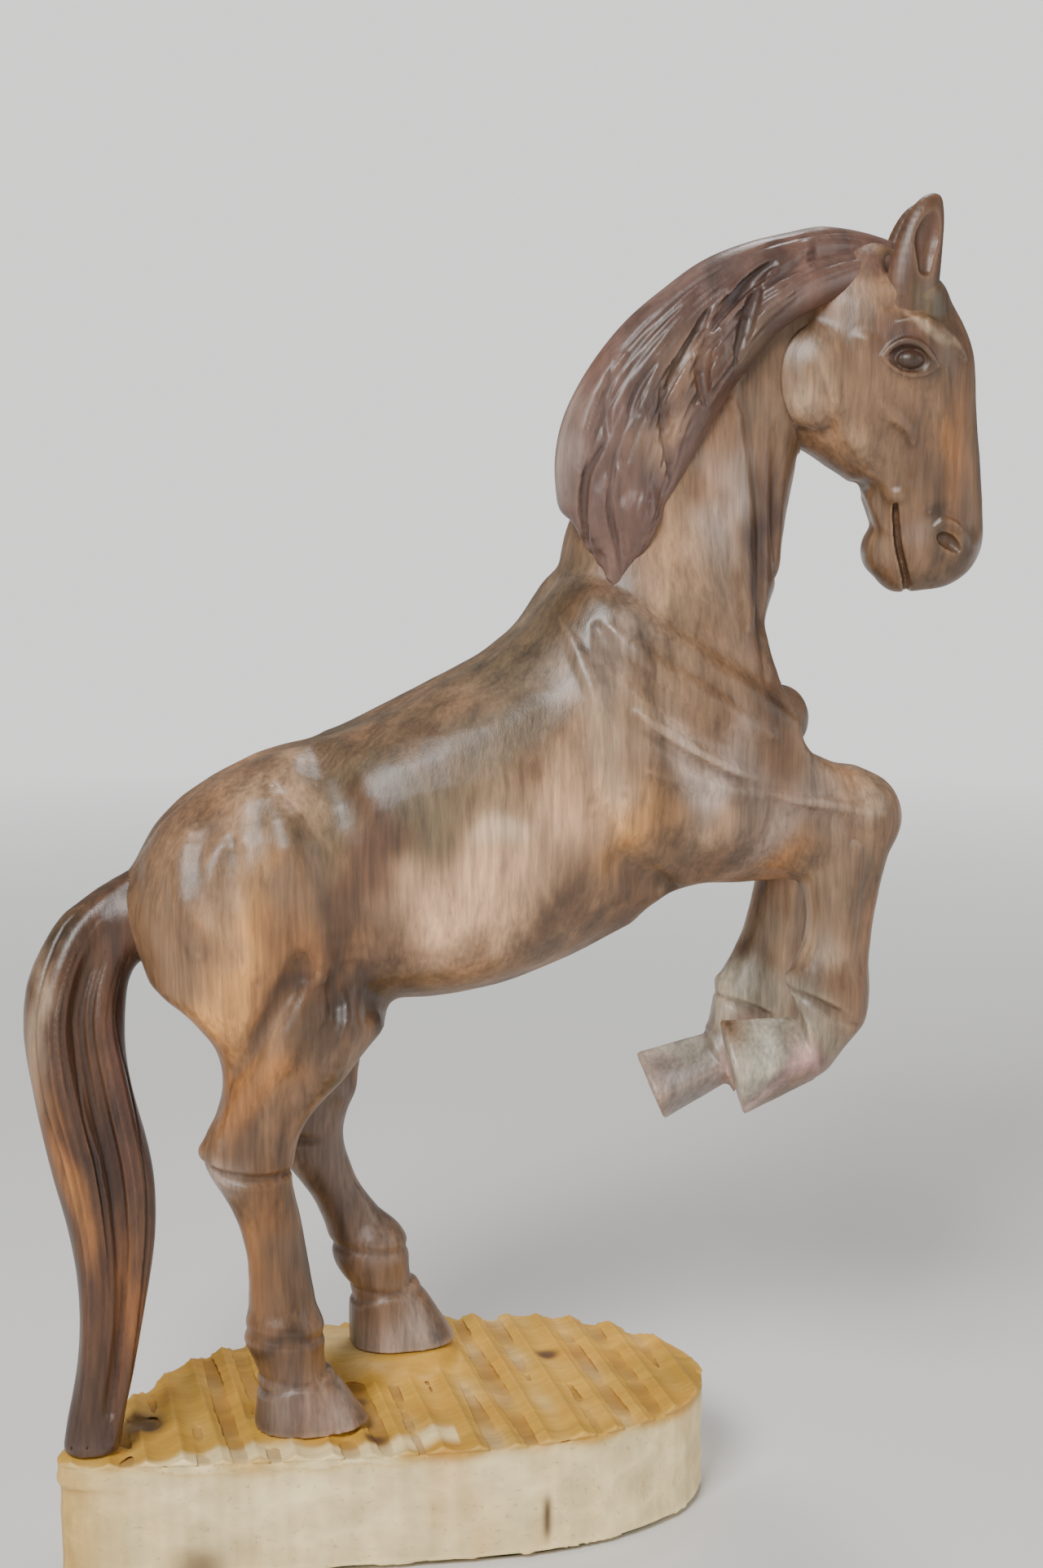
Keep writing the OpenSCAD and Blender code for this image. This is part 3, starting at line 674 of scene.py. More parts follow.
def carve_eye(clay, box, side):
    """Socket, eyeball, lids and brow."""
    x, _, z = place(box, *EYE)
    skin = clay.surface_y(x, z, side, reach_of(box))
    upper = stroke(clay, box, UPPER_LID, side, 2.0, 1.6, (0.5, 0.5))
    lower = stroke(clay, box, LOWER_LID, side, 1.4, 0.9, (0.6, 0.6))
    hollow(clay, box, EYE, EYE_SOCKET, -8, 4.2, 1.0, side)
    clay.add(Ball((x, skin - side * (EYEBALL_R - 1.0), z), (EYEBALL_R + 1.4, EYEBALL_R, EYEBALL_R - 1.2)))
    clay.add(upper, 1.2)
    clay.add(lower, 1.2)
    ridge(clay, box, BROW, side, 3.8, 3.4, 2.0)


def carve_muzzle(clay, box, side):
    """Nostril, mouth and the bump at its corner."""
    bulge(clay, box, MOUTH_CORNER, (6, 5, 4.5), 0, 1.6, 2.5, side)
    ridge(clay, box, NOSTRIL_RIM, side, 2.4, 1.8, 2.0)
    groove(clay, box, NOSTRIL, side, 3.4, 4.5, 1.2)
    groove(clay, box, MOUTH, side, 1.6, 6.0, 0.8, ends=(0.7, 1.0))


def cheek_ball(clay, box, side):
    """The round of the jaw, which stands proud of the neck behind it."""
    x, _, z = place(box, *CHEEK)
    y = clay.surface_y(x + 12, z, side, reach_of(box)) + side * (CHEEK_RISE - CHEEK_SIZE[1])
    return Ball((x, y, z), CHEEK_SIZE)


def head_clay(turn):
    """The head before it is turned, with the end of the neck; and the rounds of its jaw."""
    points, triangles = node_mesh("head")
    points = turn.straight(points)
    box = points.min(0), points.max(0)
    clay = Clay(box[0] - 12, box[1] + 12, 2 * SHARP)
    neck_points, neck_triangles = node_mesh("neck")
    clay.add_mesh(turn.straight(neck_points), neck_triangles)
    clay.add_mesh(points, triangles, 4)
    blurred(clay.d, 5)
    clay = clay.halved()
    cheeks = [cheek_ball(clay, box, side) for side in (RIGHT, LEFT)]
    for side, cheek in zip((RIGHT, LEFT), cheeks):
        clay.add(cheek, 3)
        for share, size, tilt, rise, blend in HEAD_MUSCLES:
            bulge(clay, box, share, size, tilt, rise, blend, side)
        carve_lines(clay, box, HEAD_LINES, side)
        carve_eye(clay, box, side)
        carve_muzzle(clay, box, side)
    clay.chisel(9.0, 0.3, np.diag([1, 1, 1 / 1.6]), 3, box[0] - 4, box[1] + 4)
    return clay, cheeks


# ---------------------------------------------------------------- ears

# Shares of an ear's box and radius, from the root to the tip
EAR_SPINE = [((36, -40), 11.5), ((40, -8), 13.2), ((48.5, 34), 12.2), ((60, 68), 9.6), ((71, 88), 6.0),
             ((81, 96.5), 2.4)]
EAR_BOWL = [((52, 12), 3.6), ((53, 30), 5.2), ((57, 48), 7.2), ((63.5, 68), 5.8), ((74, 85), 2.6)]
EAR_THICKNESS = 0.62


def ear_clay(hand):
    box = node_box("ear_" + hand)
    side = HANDS[hand]
    middle = (box[0][1] + box[1][1]) / 2
    clay = Clay(box[0] - (8, 8, 24), box[1] + 8, SHARP)
    spine = curve([(*place(box, *share)[[0, 2]], r) for share, r in EAR_SPINE])
    clay.add(Rod([(x, middle, z) for x, z, _ in spine], [r for _, _, r in spine], EAR_THICKNESS))
    bowl = curve([(*place(box, *share)[[0, 2]], r) for share, r in EAR_BOWL])
    clay.cut(Rod([(x, middle + side * 8.5, z) for x, z, _ in bowl], [r for _, _, r in bowl], 0.85), 1.5)
    return clay


# ---------------------------------------------------------------- mane and tail

# The way the mane's hair lies, from its lower edge to the crest, in shares of the mane's box
MANE_FLOW = [
    [(134, 93.5), (117, 90), (99, 84.5), (84, 75), (67, 61), (51, 47), (45, 34), (33, 16), (25, 1)],
    [(136, 95), (119, 93), (100, 89), (76, 80), (55, 66), (40, 48), (34, 30), (28, 15), (22, 1)],
    [(137, 96.5), (120, 96), (102, 94), (79, 89), (58.5, 76), (39.5, 58.5), (27.5, 42.5), (21.5, 25),
     (20.5, 5)],
    [(138, 98), (121, 98.5), (104, 98), (73, 91), (44, 76), (21.5, 57), (9, 37), (8, 20), (14, 8)],
    [(139, 99), (122, 101), (108, 101), (77, 96), (45, 84), (16, 64), (3, 40), (3, 24), (8, 13)],
]
MANE_RIDGES = [
    [(92, 86), (80, 80), (72, 73), (65, 64)],
    [(66, 84), (60, 74), (57, 64)],
    [(63, 66), (58, 60), (53, 52)],
    [(50, 84), (38, 70), (31, 57), (29, 47)],
    [(46, 60), (43, 52), (45, 43)],
    [(30, 50), (28, 36), (31, 22), (28, 10)],
    [(22, 66), (10, 50), (5, 34)],
    [(22, 36), (13, 24), (15, 12)],
]
MANE_GROOVES = [
    ([(83, 92), (69, 83.5), (55, 73)], 3.2, 5.0),
    ([(76, 85), (71, 75), (67, 63)], 4.0, 5.0),
    ([(56, 79), (48.5, 69.5), (43.5, 63.5), (37, 55)], 3.0, 5.0),
    ([(56, 72), (52.5, 62), (55, 51)], 4.0, 4.4),
    ([(35, 65), (27, 57), (22.5, 48)], 2.4, 2.4),
    ([(36, 58), (37.5, 46.5), (40, 39), (42, 31)], 3.0, 3.0),
    ([(17, 62), (14, 52), (15, 43)], 3.0, 1.8),
    ([(14, 42), (7.5, 33), (6.5, 21.5), (9.5, 12), (15, 4), (20, -1)], 2.6, 3.2),
    ([(18, 40), (16, 27), (18, 16), (21.5, 5)], 1.8, 1.6),
    ([(98, 95), (90, 90), (80, 86)], 2.2, 1.6),
]
CREST = [(139, 96.5), (124, 97.5), (108, 97), (93, 94.5), (76.5, 91), (61, 87), (46, 79.5), (31, 70.5),
         (18, 59), (9, 47), (6, 36), (7, 26)]
POLL_LOCK = [(86, 81.5), (101, 85.5), (118, 89), (133, 91)]
TIP_LOCK = [(27, 22), (22, 11), (17.5, 0)]
TAIL_OUTER = [(81, 98), (32, 91), (7, 77), (8, 63), (24, 49), (38, 32), (36, 14.5), (24, 0)]
TAIL_INNER = [(97, 96), (86, 84), (77, 74), (88, 60), (97, 46), (92, 31), (79, 13.5), (64, 0)]
TAIL_CREASE = [(67, 90), (50, 81), (45, 71.5), (58, 58.5), (71, 43.5), (75, 26.5), (60, 8)]


def between(lines, t):
    """The line a share t of the way through an ordered family of lines."""
    t = min(max(t, 0), len(lines) - 1 - 1e-6)
    k = int(t)
    part = t - k
    return [tuple(p * (1 - part) + q * part for p, q in zip(a, b)) for a, b in zip(lines[k], lines[k + 1])]


def strands(clay, box, lines, side, count, radius, depth):
    """Fine cuts that follow the hair, some stopping short of the ends."""
    for k in range(count):
        line = between(lines, (k + 0.5) / count * (len(lines) - 1))
        start, stop = (k * 5) % 3, len(line) - (k * 7) % 3
        deep = depth * (0.6 + 0.4 * ((k * 3) % 4) / 3)
        groove(clay, box, line[start:stop], side, radius, deep, 0.6, ends=(0.1, 0.1))


def mane_clay():
    box = node_box("mane")
    clay = Clay(box[0] - (12, 8, 8), box[1] + (62, 34, 12), 2 * SHARP)
    clay.add_mesh(*node_mesh("mane"))
    crest = curve([place(box, u, w, box[1][1] + 5 + 0.2 * max(0, u - 95)) for u, w in CREST])
    clay.add(Rod(crest, [min(10.0, 5.0 + 0.6 * k) for k in range(len(crest))]), 6)
    lock = curve([place(box, u, w, box[1][1] - 7 + 0.3 * (u - 86)) for u, w in POLL_LOCK])
    clay.add(Rod(lock, [12.5 - 0.4 * k for k in range(len(lock))]), 6)
    blurred(clay.d, 3)
    clay = clay.halved()
    tip = curve([place(box, u, w, box[1][1] - 10) for u, w in TIP_LOCK])
    clay.add(Rod(tip, [13 - 1.3 * k for k in range(len(tip))], 0.7), 5)
    wide = box[0], box[1] + (0, 30, 0)
    for line in MANE_RIDGES:
        ridge(clay, wide, line, RIGHT, 7.0, 1.8, 3.0)
    for line, radius, depth in MANE_GROOVES:
        groove(clay, wide, line, RIGHT, radius, depth, 1.2, ends=(0.15, 0.15))
    strands(clay, wide, MANE_FLOW, RIGHT, 12, 1.8, 0.5)
    strands(clay, wide, MANE_FLOW[2:], LEFT, 8, 1.8, 0.9)
    return clay


def tail_clay():
    box = node_box("tail")
    clay = Clay(box[0] - 8, box[1] + 8, 2 * SHARP)
    clay.add_mesh(*node_mesh("tail"))
    blurred(clay.d, 3)
    clay = clay.halved()
    for side in (RIGHT, LEFT):
        groove(clay, box, TAIL_CREASE, side, 8.0, 5.5, 4.0, ends=(0.3, 0.4))
        ridge(clay, box, between([TAIL_OUTER, TAIL_INNER], 0.24), side, 8.0, 2.0, 4.0)
        ridge(clay, box, between([TAIL_OUTER, TAIL_INNER], 0.8), side, 6.0, 1.6, 3.0)
        strands(clay, box, [TAIL_OUTER, TAIL_INNER], side, 10, 1.8, 1.1)
    root = rods_of("tail_dowel")[0][0]
    clay.add(Rod([root + (10, 0, 4), root + (-9, -1, -1), root + (-24, -5, -9)], (21, 18, 13)), 6)
    return clay


# ---------------------------------------------------------------- the slab

FLUTE_LEAN = 3.0
FLUTE_R = 15.0
FLUTE_COUNT = 19
# Damage on the slab, in mm: a check on the right side, a chipped edge, a pit and two knots on top
CHECK_LINE, CHECK_WIDTHS = [(64, -83, 31), (66, -83, 20), (67, -83, 10)], (0.8, 1.8, 0.8)
CHIPS = [((-101, -78, 4), (13, 8, 9)), ((-124, -20, 61), (9, 8, 6))]
KNOTS = [(-14, -59), (-17, -14), (88, 20)]


def hull(points):
    """The convex outline of flat points, anticlockwise."""
    order = sorted(set((float(x), float(y)) for x, y in points))

    def half(chain):
        out = []
        for p in chain:
            while len(out) > 1 and np.cross(np.subtract(out[-1], out[-2]), np.subtract(p, out[-2])) <= 0:
                out.pop()
            out.append(p)
        return out[:-1]
    return np.array(half(order) + half(order[::-1]))


def prism(outline, low, high):
    """Points and triangles of an outline drawn up from low to high."""
    n = len(outline)
    middle = outline.mean(0)
    rings = [np.column_stack([outline, np.full(n, z)]) for z in (low, high)]
    points = np.concatenate(rings + [[(*middle, low), (*middle, high)]])
    k = np.arange(n)
    after = (k + 1) % n
    walls = [np.column_stack([k, after, after + n]), np.column_stack([k, after + n, k + n])]
    caps = [np.column_stack([after, k, np.full(n, 2 * n)]),
            np.column_stack([k + n, after + n, np.full(n, 2 * n + 1)])]
    return points.astype(np.float32), np.concatenate(walls + caps).astype(np.uint32)


def base_clay():
    low, high = node_box("base")
    felt_high = node_box("felt_sheet")[1][2]
    top = node_box("hind_leg_right")[0][2]
    points, _ = node_mesh("base")
    clay = Clay(low - 8, high + 8, SLAB_STEP)
    foot = points[points[:, 2] < felt_high + 0.1][:, :2]
    clay.add_mesh(*prism(hull(foot), felt_high, top))
    pitch = (high[0] - low[0]) / FLUTE_COUNT
    depth = FLUTE_R - math.sqrt(FLUTE_R ** 2 - (pitch / 2) ** 2)
    lean = math.tan(math.radians(FLUTE_LEAN))
    for k in range(FLUTE_COUNT + 2):
        x = low[0] + (k - 0.3) * pitch
        wave = [math.sin(1.7 * k + 0.5 * j) + 0.4 * math.sin(2.9 * k + 1.3 * j) for j in range(7)]
        line = []
        for j in range(7):
            y = low[1] - 10 + j / 6 * (high[1] - low[1] + 20)
            line.append((x - lean * y + 0.9 * wave[j], y, top + FLUTE_R - depth - 0.4 + 0.4 * wave[6 - j]))
        clay.cut(Rod(curve(line), FLUTE_R))
    clay.add(flat_under("hind_leg_right", 22, top), 7)
    pad = node_box("hind_leg_left")[0][2]
    clay.add(flat_under("hind_leg_left", 30, pad), 5)
    clay.add(Hoof((-17, 40, pad - 1), (-20, 40, pad - 13), (13, 24), (22, 30), 3.5, 3), 4)
    clay.add(flat_under("tail", 12, top), 5)
    clay.chisel(19.0, 1.4, np.diag([1 / 1.3, 1, 1]), 11, low - 4, (high[0] + 4, high[1] + 4, top - 4))
    clay.chisel(9.0, 0.12, np.diag([1, 1 / 3.0, 1]), 5, low - 4, high + 4)
    clay.cut(Rod(CHECK_LINE, CHECK_WIDTHS), 0.5)
    for centre, size in CHIPS:
        clay.cut(Ball(centre, size), 2.0)
    for x, y in KNOTS:
        clay.cut(Ball((x, y, top + 1), (4.5, 3.5, 3.5)), 1.5)
    return clay


def flat_under(name, radius, top):
    """A low mound with a flat top where a foot stands."""
    points, _ = node_mesh(name)
    foot = points[points[:, 2] < points[:, 2].min() + 1.0].mean(0)
    foot_top, foot_low = (foot[0], foot[1], top), (foot[0], foot[1], top - 14)
    return Hoof(foot_top, foot_low, (radius, radius - 5), (radius + 8, radius + 3), 2.2, 3)


# ---------------------------------------------------------------- sawing the clay into its blocks

OUTSIDE = 260.0
# The underside of the trunk between the hind legs and the forearms, in shares of the trunk's box
UNDER_BELLY = [(55, -4), (84, 7), (96, 19)]
# The way square to the line that parts the jaw from the neck in front of the throat
THROAT_LINE = (0.85, 0.0, 0.53)


def joint_line(name, side=0):
    """A joint's middle and its direction in profile, from the dowels that cross it."""
    rods = [rod for rod in rods_of(name) if side == 0 or rod[0][1] * side > 0]
    centre = np.mean([rod[0] for rod in rods], axis=0)
    axis = rods[0][1]
    return centre[0], centre[2], -axis[0] / axis[2]


def joint_at(joint, x):
    """The point of a joint line at an x, in profile."""
    middle_x, middle_z, slope = joint
    return x, middle_z + (x - middle_x) * slope


def closed_object(name, points, faces):
    """A helper solid from points in mm."""
    mesh = bpy.data.meshes.new(name)
    mesh.from_pydata([tuple(float(c) * MM for c in p) for p in points], [], faces)
    obj = bpy.data.objects.new(name, mesh)
    bpy.context.scene.collection.objects.link(obj)
    return obj


def profile_solid(name, outline, low_y=-OUTSIDE, high_y=OUTSIDE):
    """A straight block whose outline in profile runs anticlockwise seen from the right."""
    count = len(outline)
    points = [(x, y, z) for y in (low_y, high_y) for x, z in outline]
    faces = [tuple(range(count)), tuple(range(2 * count - 1, count - 1, -1))]
    for i in range(count):
        j = (i + 1) % count
        faces.append((i, i + count, j + count, j))
    return closed_object(name, points, faces)


def ball_solid(name, ball):
    """The mesh of a Ball."""
    rings, sides = 48, 72
    points = [(0, 0, 1)]
    for i in range(1, rings):
        slant = math.pi * i / rings
        for j in range(sides):
            spin = 2 * math.pi * j / sides
            out = math.sin(slant)
            points.append((out * math.cos(spin), out * math.sin(spin), math.cos(slant)))
    points.append((0, 0, -1))
    faces, last = [], len(points) - 1
    for j in range(sides):
        k = (j + 1) % sides
        faces.append((0, 1 + j, 1 + k))
        faces.append((last, last - sides + k, last - sides + j))
        for i in range(rings - 2):
            a = 1 + i * sides
            faces.append((a + j, a + sides + j, a + sides + k, a + k))
    return closed_object(name, (np.array(points) * ball.radii) @ ball.turn + ball.centre, faces)


def boolean(name, first, second, operation):
    """A new closed object: what is left of first after working on it with second."""
    piece = bpy.data.objects.new(name, first.data)
    bpy.context.scene.collection.objects.link(piece)
    saw = piece.modifiers.new("saw", "BOOLEAN")
    saw.solver, saw.operation, saw.object = "MANIFOLD", operation, second
    mesh = bpy.data.meshes.new_from_object(piece.evaluated_get(bpy.context.evaluated_depsgraph_get()))
    piece.modifiers.clear()
    piece.data = mesh
    return piece


def discard(*objects):
    for obj in objects:
        bpy.data.objects.remove(obj)


def sawn(name, master, *cuts):
    """The part of the master inside the first solid and outside all the others."""
    piece = master
    for k, solid in enumerate(cuts):
        before, piece = piece, boolean(name, piece, solid, "DIFFERENCE" if k else "INTERSECT")
        if before is not master:
            discard(before)
    piece.name = name
    keep_largest(piece)
    return piece


def keep_largest(obj):
    """Drops the crumbs that a cut leaves beside the block."""
    work = bmesh.new()
    work.from_mesh(obj.data)
    work.verts.ensure_lookup_table()
    seen, groups = np.zeros(len(work.verts), bool), []
    for start in work.verts:
        if seen[start.index]:
            continue
        seen[start.index] = True
        group, edge = [start], [start]
        while edge:
            for link in edge.pop().link_edges:
                for vert in link.verts:
                    if not seen[vert.index]:
                        seen[vert.index] = True
                        group.append(vert)
                        edge.append(vert)
        groups.append(group)
    groups.sort(key=len)
    for group in groups[:-1]:
        bmesh.ops.delete(work, geom=group, context="VERTS")
    if len(groups) > 1:
        work.to_mesh(obj.data)
    work.free()


def head_wedge(turn, throat):
    """The space ahead of the head's joint and above the line that runs down from its throat."""
    down = np.array(THROAT_LINE, float) / np.linalg.norm(THROAT_LINE)
    along = np.cross(turn.axis, down)
    along = along / np.linalg.norm(along)
    up, ahead = np.cross(along, turn.axis), np.cross(along, down)
    up, ahead = up * np.sign(up @ down), ahead * np.sign(ahead @ turn.axis)
    points = [throat + OUTSIDE * (a * along + b * up + c * ahead)
              for a, b, c in ((i, j, k) for i in (-1, 1) for j in (0, 1) for k in (0, 1))]
    faces = [(0, 1, 3, 2), (4, 6, 7, 5), (0, 4, 5, 1), (2, 3, 7, 6), (0, 2, 6, 4), (1, 5, 7, 3)]
    solid = closed_object("head_space", points, faces)
    outward = bmesh.new()
    outward.from_mesh(solid.data)
    bmesh.ops.recalc_face_normals(outward, faces=outward.faces)
    outward.to_mesh(solid.data)
    outward.free()
    return solid


def body_solids():
    """The space of each block of the body, as solids between its joints."""
    trunk = node_box("trunk_right")
    front = rods_of("forearm_dowels")[0][0][0]
    belly = [tuple(place(trunk, *share)[[0, 2]]) for share in UNDER_BELLY]
    neck, hind = joint_line("neck_dowels"), joint_line("hind_leg_dowels")
    bottom, top = trunk[0][2] - OUTSIDE, trunk[1][2] + OUTSIDE
    neck_front, knee_front = node_box("neck")[1][0] + 4, node_box("foreleg_right")[1][0] + 40
    back, chin = trunk[0][0] - OUTSIDE / 2, node_box("head")[0][2] - 20
    neck_outline = [joint_at(neck, back), joint_at(neck, neck_front), (neck_front, top), (back, top)]
    solids = {"neck": profile_solid("s", neck_outline)}
    trunk_outline = [joint_at(hind, back), joint_at(hind, belly[0][0]), *belly, (front, belly[-1][1] + 12),
                     joint_at(neck, front), joint_at(neck, back)]
    for hand, side in HANDS.items():
        knee = joint_line("knee_dowels", side)
        low_y, high_y = min(0, side * OUTSIDE), max(0, side * OUTSIDE)
        outlines = {
            "trunk": trunk_outline,
            "forearm": [joint_at(knee, front), joint_at(knee, knee_front), (knee_front, chin),
                        (neck_front, chin), joint_at(neck, neck_front), joint_at(neck, front)],
            "foreleg": [(belly[0][0], bottom), (knee_front, bottom), joint_at(knee, knee_front),
                        joint_at(knee, front), (front, belly[-1][1] + 12), *belly[::-1]],
            "hind_leg": [(back, bottom), (belly[0][0], bottom), joint_at(hind, belly[0][0]),
                         joint_at(hind, back)],
        }
        for part, outline in outlines.items():
            solids[part + "_" + hand] = profile_solid("s", outline, low_y, high_y)
    return solids


# ---------------------------------------------------------------- stain, wax, painted highlights and painted shade

COLOURS = {
    "base": (0.235, 0.142, 0.080), "umber": (0.06, 0.03, 0.016), "walnut": (0.125, 0.063, 0.033),
    "olive": (0.135, 0.105, 0.062), "rose": (0.66, 0.43, 0.27), "ochre": (0.56, 0.29, 0.10),
    "orange": (0.42, 0.195, 0.062), "lilac": (0.30, 0.225, 0.185), "tan": (0.38, 0.25, 0.155),
    "cream": (0.60, 0.46, 0.33), "plum": (0.10, 0.048, 0.034), "mauve": (0.185, 0.112, 0.088),
    "pearl": (0.50, 0.41, 0.36), "ivory": (0.52, 0.48, 0.39), "pink": (0.50, 0.32, 0.29),
    # straw is the slab's pale sides: their own colour, pushed near white as a painted highlight on sides
    # that face away from the key light
    "gold": (0.66, 0.395, 0.068), "straw": (1.0, 0.84, 0.50),
}
# Patches of stain, with a few painted highlights among them: (share of the figure), (half length, half width
# in mm), tilt, colour, strength
BODY_PATCHES = [
    # Painted highlights: rose (24, 57), tan (28, 56) and tan (20, 51) on the rump, cream (46, 55) on the
    # barrel, tan (69, 55) on the upper arm, pearl (71, 79) on the neck, pearl (18, 31.5) on the hock
    ((36, 56), (80, 34), 20, "olive", 0.9), ((54, 67), (60, 34), 30, "olive", 0.7),
    ((60, 74), (26, 26), 40, "walnut", 0.5), ((24, 57), (22, 16), 30, "rose", 0.35),
    ((43, 50), (44, 30), 20, "rose", 0.95), ((54, 55), (36, 34), 30, "rose", 0.8),
    ((43, 44), (40, 18), 15, "tan", 0.7), ((34, 51), (13, 44), -10, "walnut", 0.85),
    ((21, 48), (14, 34), -12, "ochre", 0.85), ((27, 44), (26, 20), 0, "orange", 0.6),
    ((28, 50), (18, 22), 0, "base", 0.6), ((33, 41), (18, 14), 30, "umber", 0.85),
    ((25, 42), (9, 20), -50, "umber", 0.7), ((22, 37), (13, 20), 70, "orange", 0.8),
    ((18, 31.5), (12, 10), 0, "pearl", 0.7), ((22, 24), (14, 42), 0, "orange", 0.65),
    ((31, 28), (18, 40), 0, "lilac", 0.8), ((60, 54), (15, 24), -30, "ochre", 1.0),
    ((58, 67), (34, 18), 40, "lilac", 0.7), ((64, 62), (36, 14), -32, "tan", 0.7),
    ((69, 59), (30, 18), -30, "pearl", 0.7), ((76, 54), (36, 18), -10, "lilac", 0.8),
    ((84, 57.5), (24, 6), -15, "tan", 0.7), ((83, 48), (14, 40), -12, "tan", 0.8),
    ((80.5, 43), (12, 14), 0, "cream", 0.6), ((77, 47), (10, 30), 0, "orange", 0.5),
    ((63, 75), (38, 34), 30, "tan", 0.8), ((71, 79), (14, 30), -10, "pearl", 0.6),
    ((75.5, 74), (9, 34), -5, "plum", 0.85), ((76, 64), (18, 14), 0, "walnut", 0.6),
    ((51, 46), (40, 12), 25, "walnut", 0.45), ((46, 55), (14, 8), 20, "cream", 0.7),
    ((28, 56), (16, 12), 30, "tan", 0.6), ((20, 51), (9, 26), -10, "tan", 0.7),
    ((69, 55), (16, 11), -10, "tan", 0.8), ((85, 55.5), (24, 8), -6, "cream", 0.45),
    ((19, 42), (14, 20), -30, "ochre", 0.7), ((37, 44), (12, 30), -10, "umber", 0.5),
    ((30, 46), (7, 40), -12, "walnut", 0.55), ((57, 60), (13, 40), 25, "cream", 0.35),
]
HOOF_PATCHES = [
    ((26, 10), (40, 17), 0, "lilac", 0.95), ((39, 11.5), (36, 18), 0, "pearl", 0.8),
    ((25, 15.8), (22, 5), 5, "umber", 0.55),
    ((34.5, 23), (16, 46), 15, "lilac", 0.7),
    ((75, 36.4), (34, 20), 15, "ivory", 0.95), ((77, 32.6), (30, 9), 15, "pink", 0.9),
    ((70, 31.5), (24, 20), 15, "pearl", 0.95), ((72, 28.5), (22, 9), 15, "pink", 0.6),
]
HEAD_PATCHES = [
    ((78, 87), (22, 22), 0, "tan", 0.9), ((80, 85), (12, 12), 0, "rose", 0.5),
    ((76, 83), (10, 14), 0, "umber", 0.7), ((82, 93), (14, 12), 0, "orange", 0.5),
    ((88.5, 89.5), (15, 13), 0, "plum", 0.85), ((92, 93), (8, 14), 60, "olive", 0.8),
    ((95.3, 81.5), (8, 34), 3, "orange", 1.0), ((91, 83), (7, 20), 5, "walnut", 0.7),
    ((84.5, 81.5), (14, 8), -40, "tan", 0.7), ((92, 76), (8, 8), 0, "lilac", 0.5),
    ((89.3, 88.2), (11, 8), 0, "umber", 0.95), ((79, 84.8), (8, 9), 0, "cream", 0.35),
    # The thin cream strip at (92, 90.6) is a painted highlight along the brow ridge.
    ((92, 90.6), (12, 2.5), -30, "cream", 0.6), ((93, 77.4), (5, 4), 0, "umber", 0.6),
    ((87, 75), (8, 10), 0, "tan", 0.5), ((85.5, 95), (13, 9), 0, "mauve", 0.85),
]
MANE_PATCHES = [
    ((60, 85), (30, 30), 45, "mauve", 0.5), ((66, 88), (14, 16), 50, "rose", 0.4),
    ((54, 81), (9, 26), -10, "pearl", 0.5), ((58, 76), (8, 20), 0, "mauve", 0.5),
    ((72, 94), (24, 8), 10, "plum", 0.6), ((69, 87), (9, 26), -42, "plum", 0.7),
    ((64, 83), (7, 20), -40, "rose", 0.5), ((73, 90), (7, 18), -45, "tan", 0.5),
]
TAIL_PATCHES = [
    # The cream strip at (1.5, 40) is a painted highlight down the tail's outer edge.
    ((1.5, 40), (6, 50), -5, "cream", 0.45), ((7, 50), (14, 9), 40, "tan", 0.35),
    ((4, 29), (6, 42), 15, "orange", 0.8), ((10, 38), (8, 56), 0, "plum", 0.9),
    ((9.5, 21), (7, 30), 0, "orange", 0.4), ((5, 8), (14, 18), 0, "mauve", 0.9),
    ((4, 47), (12, 9), 45, "olive", 0.5),
]


def warped(points):
    """Points shifted by slow waves, so that painted patches get uneven edges."""
    x, y, z = points.T
    shift = np.stack([np.sin(z / 9.0 + y / 17.0) + 0.6 * np.sin(z / 4.1 + x / 13.0),
                      np.sin(x / 14.0 + z / 11.0), np.sin(x / 7.0 + y / 9.0) + np.sin(x / 19.0)], 1)
    return points + shift * np.array([4.0, 4.0, 9.0])


def stain_and_highlights(points, ground, patches, unevenness=1.0):
    """The stain and painted highlights at each point: a ground colour with soft patches over it."""
    low, high = (np.array(c) / MM for c in CAD_BOX)
    colour = np.tile(np.array(COLOURS[ground]), (len(points), 1))
    moved = points + (warped(points) - points) * unevenness
    for (u, w), (long, wide), tilt, name, strength in patches:
        x = moved[:, 0] - low[0] - u / 100 * (high[0] - low[0])
        z = moved[:, 2] - low[2] - w / 100 * (high[2] - low[2])
        c, s = math.cos(math.radians(tilt)), math.sin(math.radians(tilt))
        along, across = (x * c + z * s) / long, (z * c - x * s) / wide
        share = strength * np.exp(-(along ** 2 + across ** 2) ** 1.3)[:, None]
        colour = colour * (1 - share) + np.array(COLOURS[name]) * share
    return colour


def paint(obj, colour, cavity):
    """Stores the stain with its painted highlights, and how hollow the surface is at each vertex, which the
    material uses for painted shade in hollows, worn ridges and roughness.
    """
    mesh = obj.data
    tone = mesh.attributes.new("tone", "FLOAT_COLOR", "POINT")
    opaque = np.concatenate([colour, np.ones((len(colour), 1))], 1)
    tone.data.foreach_set("color", opaque.astype(np.float32).ravel())
    hollow_map = mesh.attributes.new("cavity", "FLOAT", "POINT")
    hollow_map.data.foreach_set("value", cavity.astype(np.float32))


def points_of(obj):
    points = np.zeros(len(obj.data.vertices) * 3, np.float32)
    obj.data.vertices.foreach_get("co", points)
    return points.reshape(-1, 3) / MM


# The exponent that deepens every stain
DEPTH_OF_TONE = 1.22


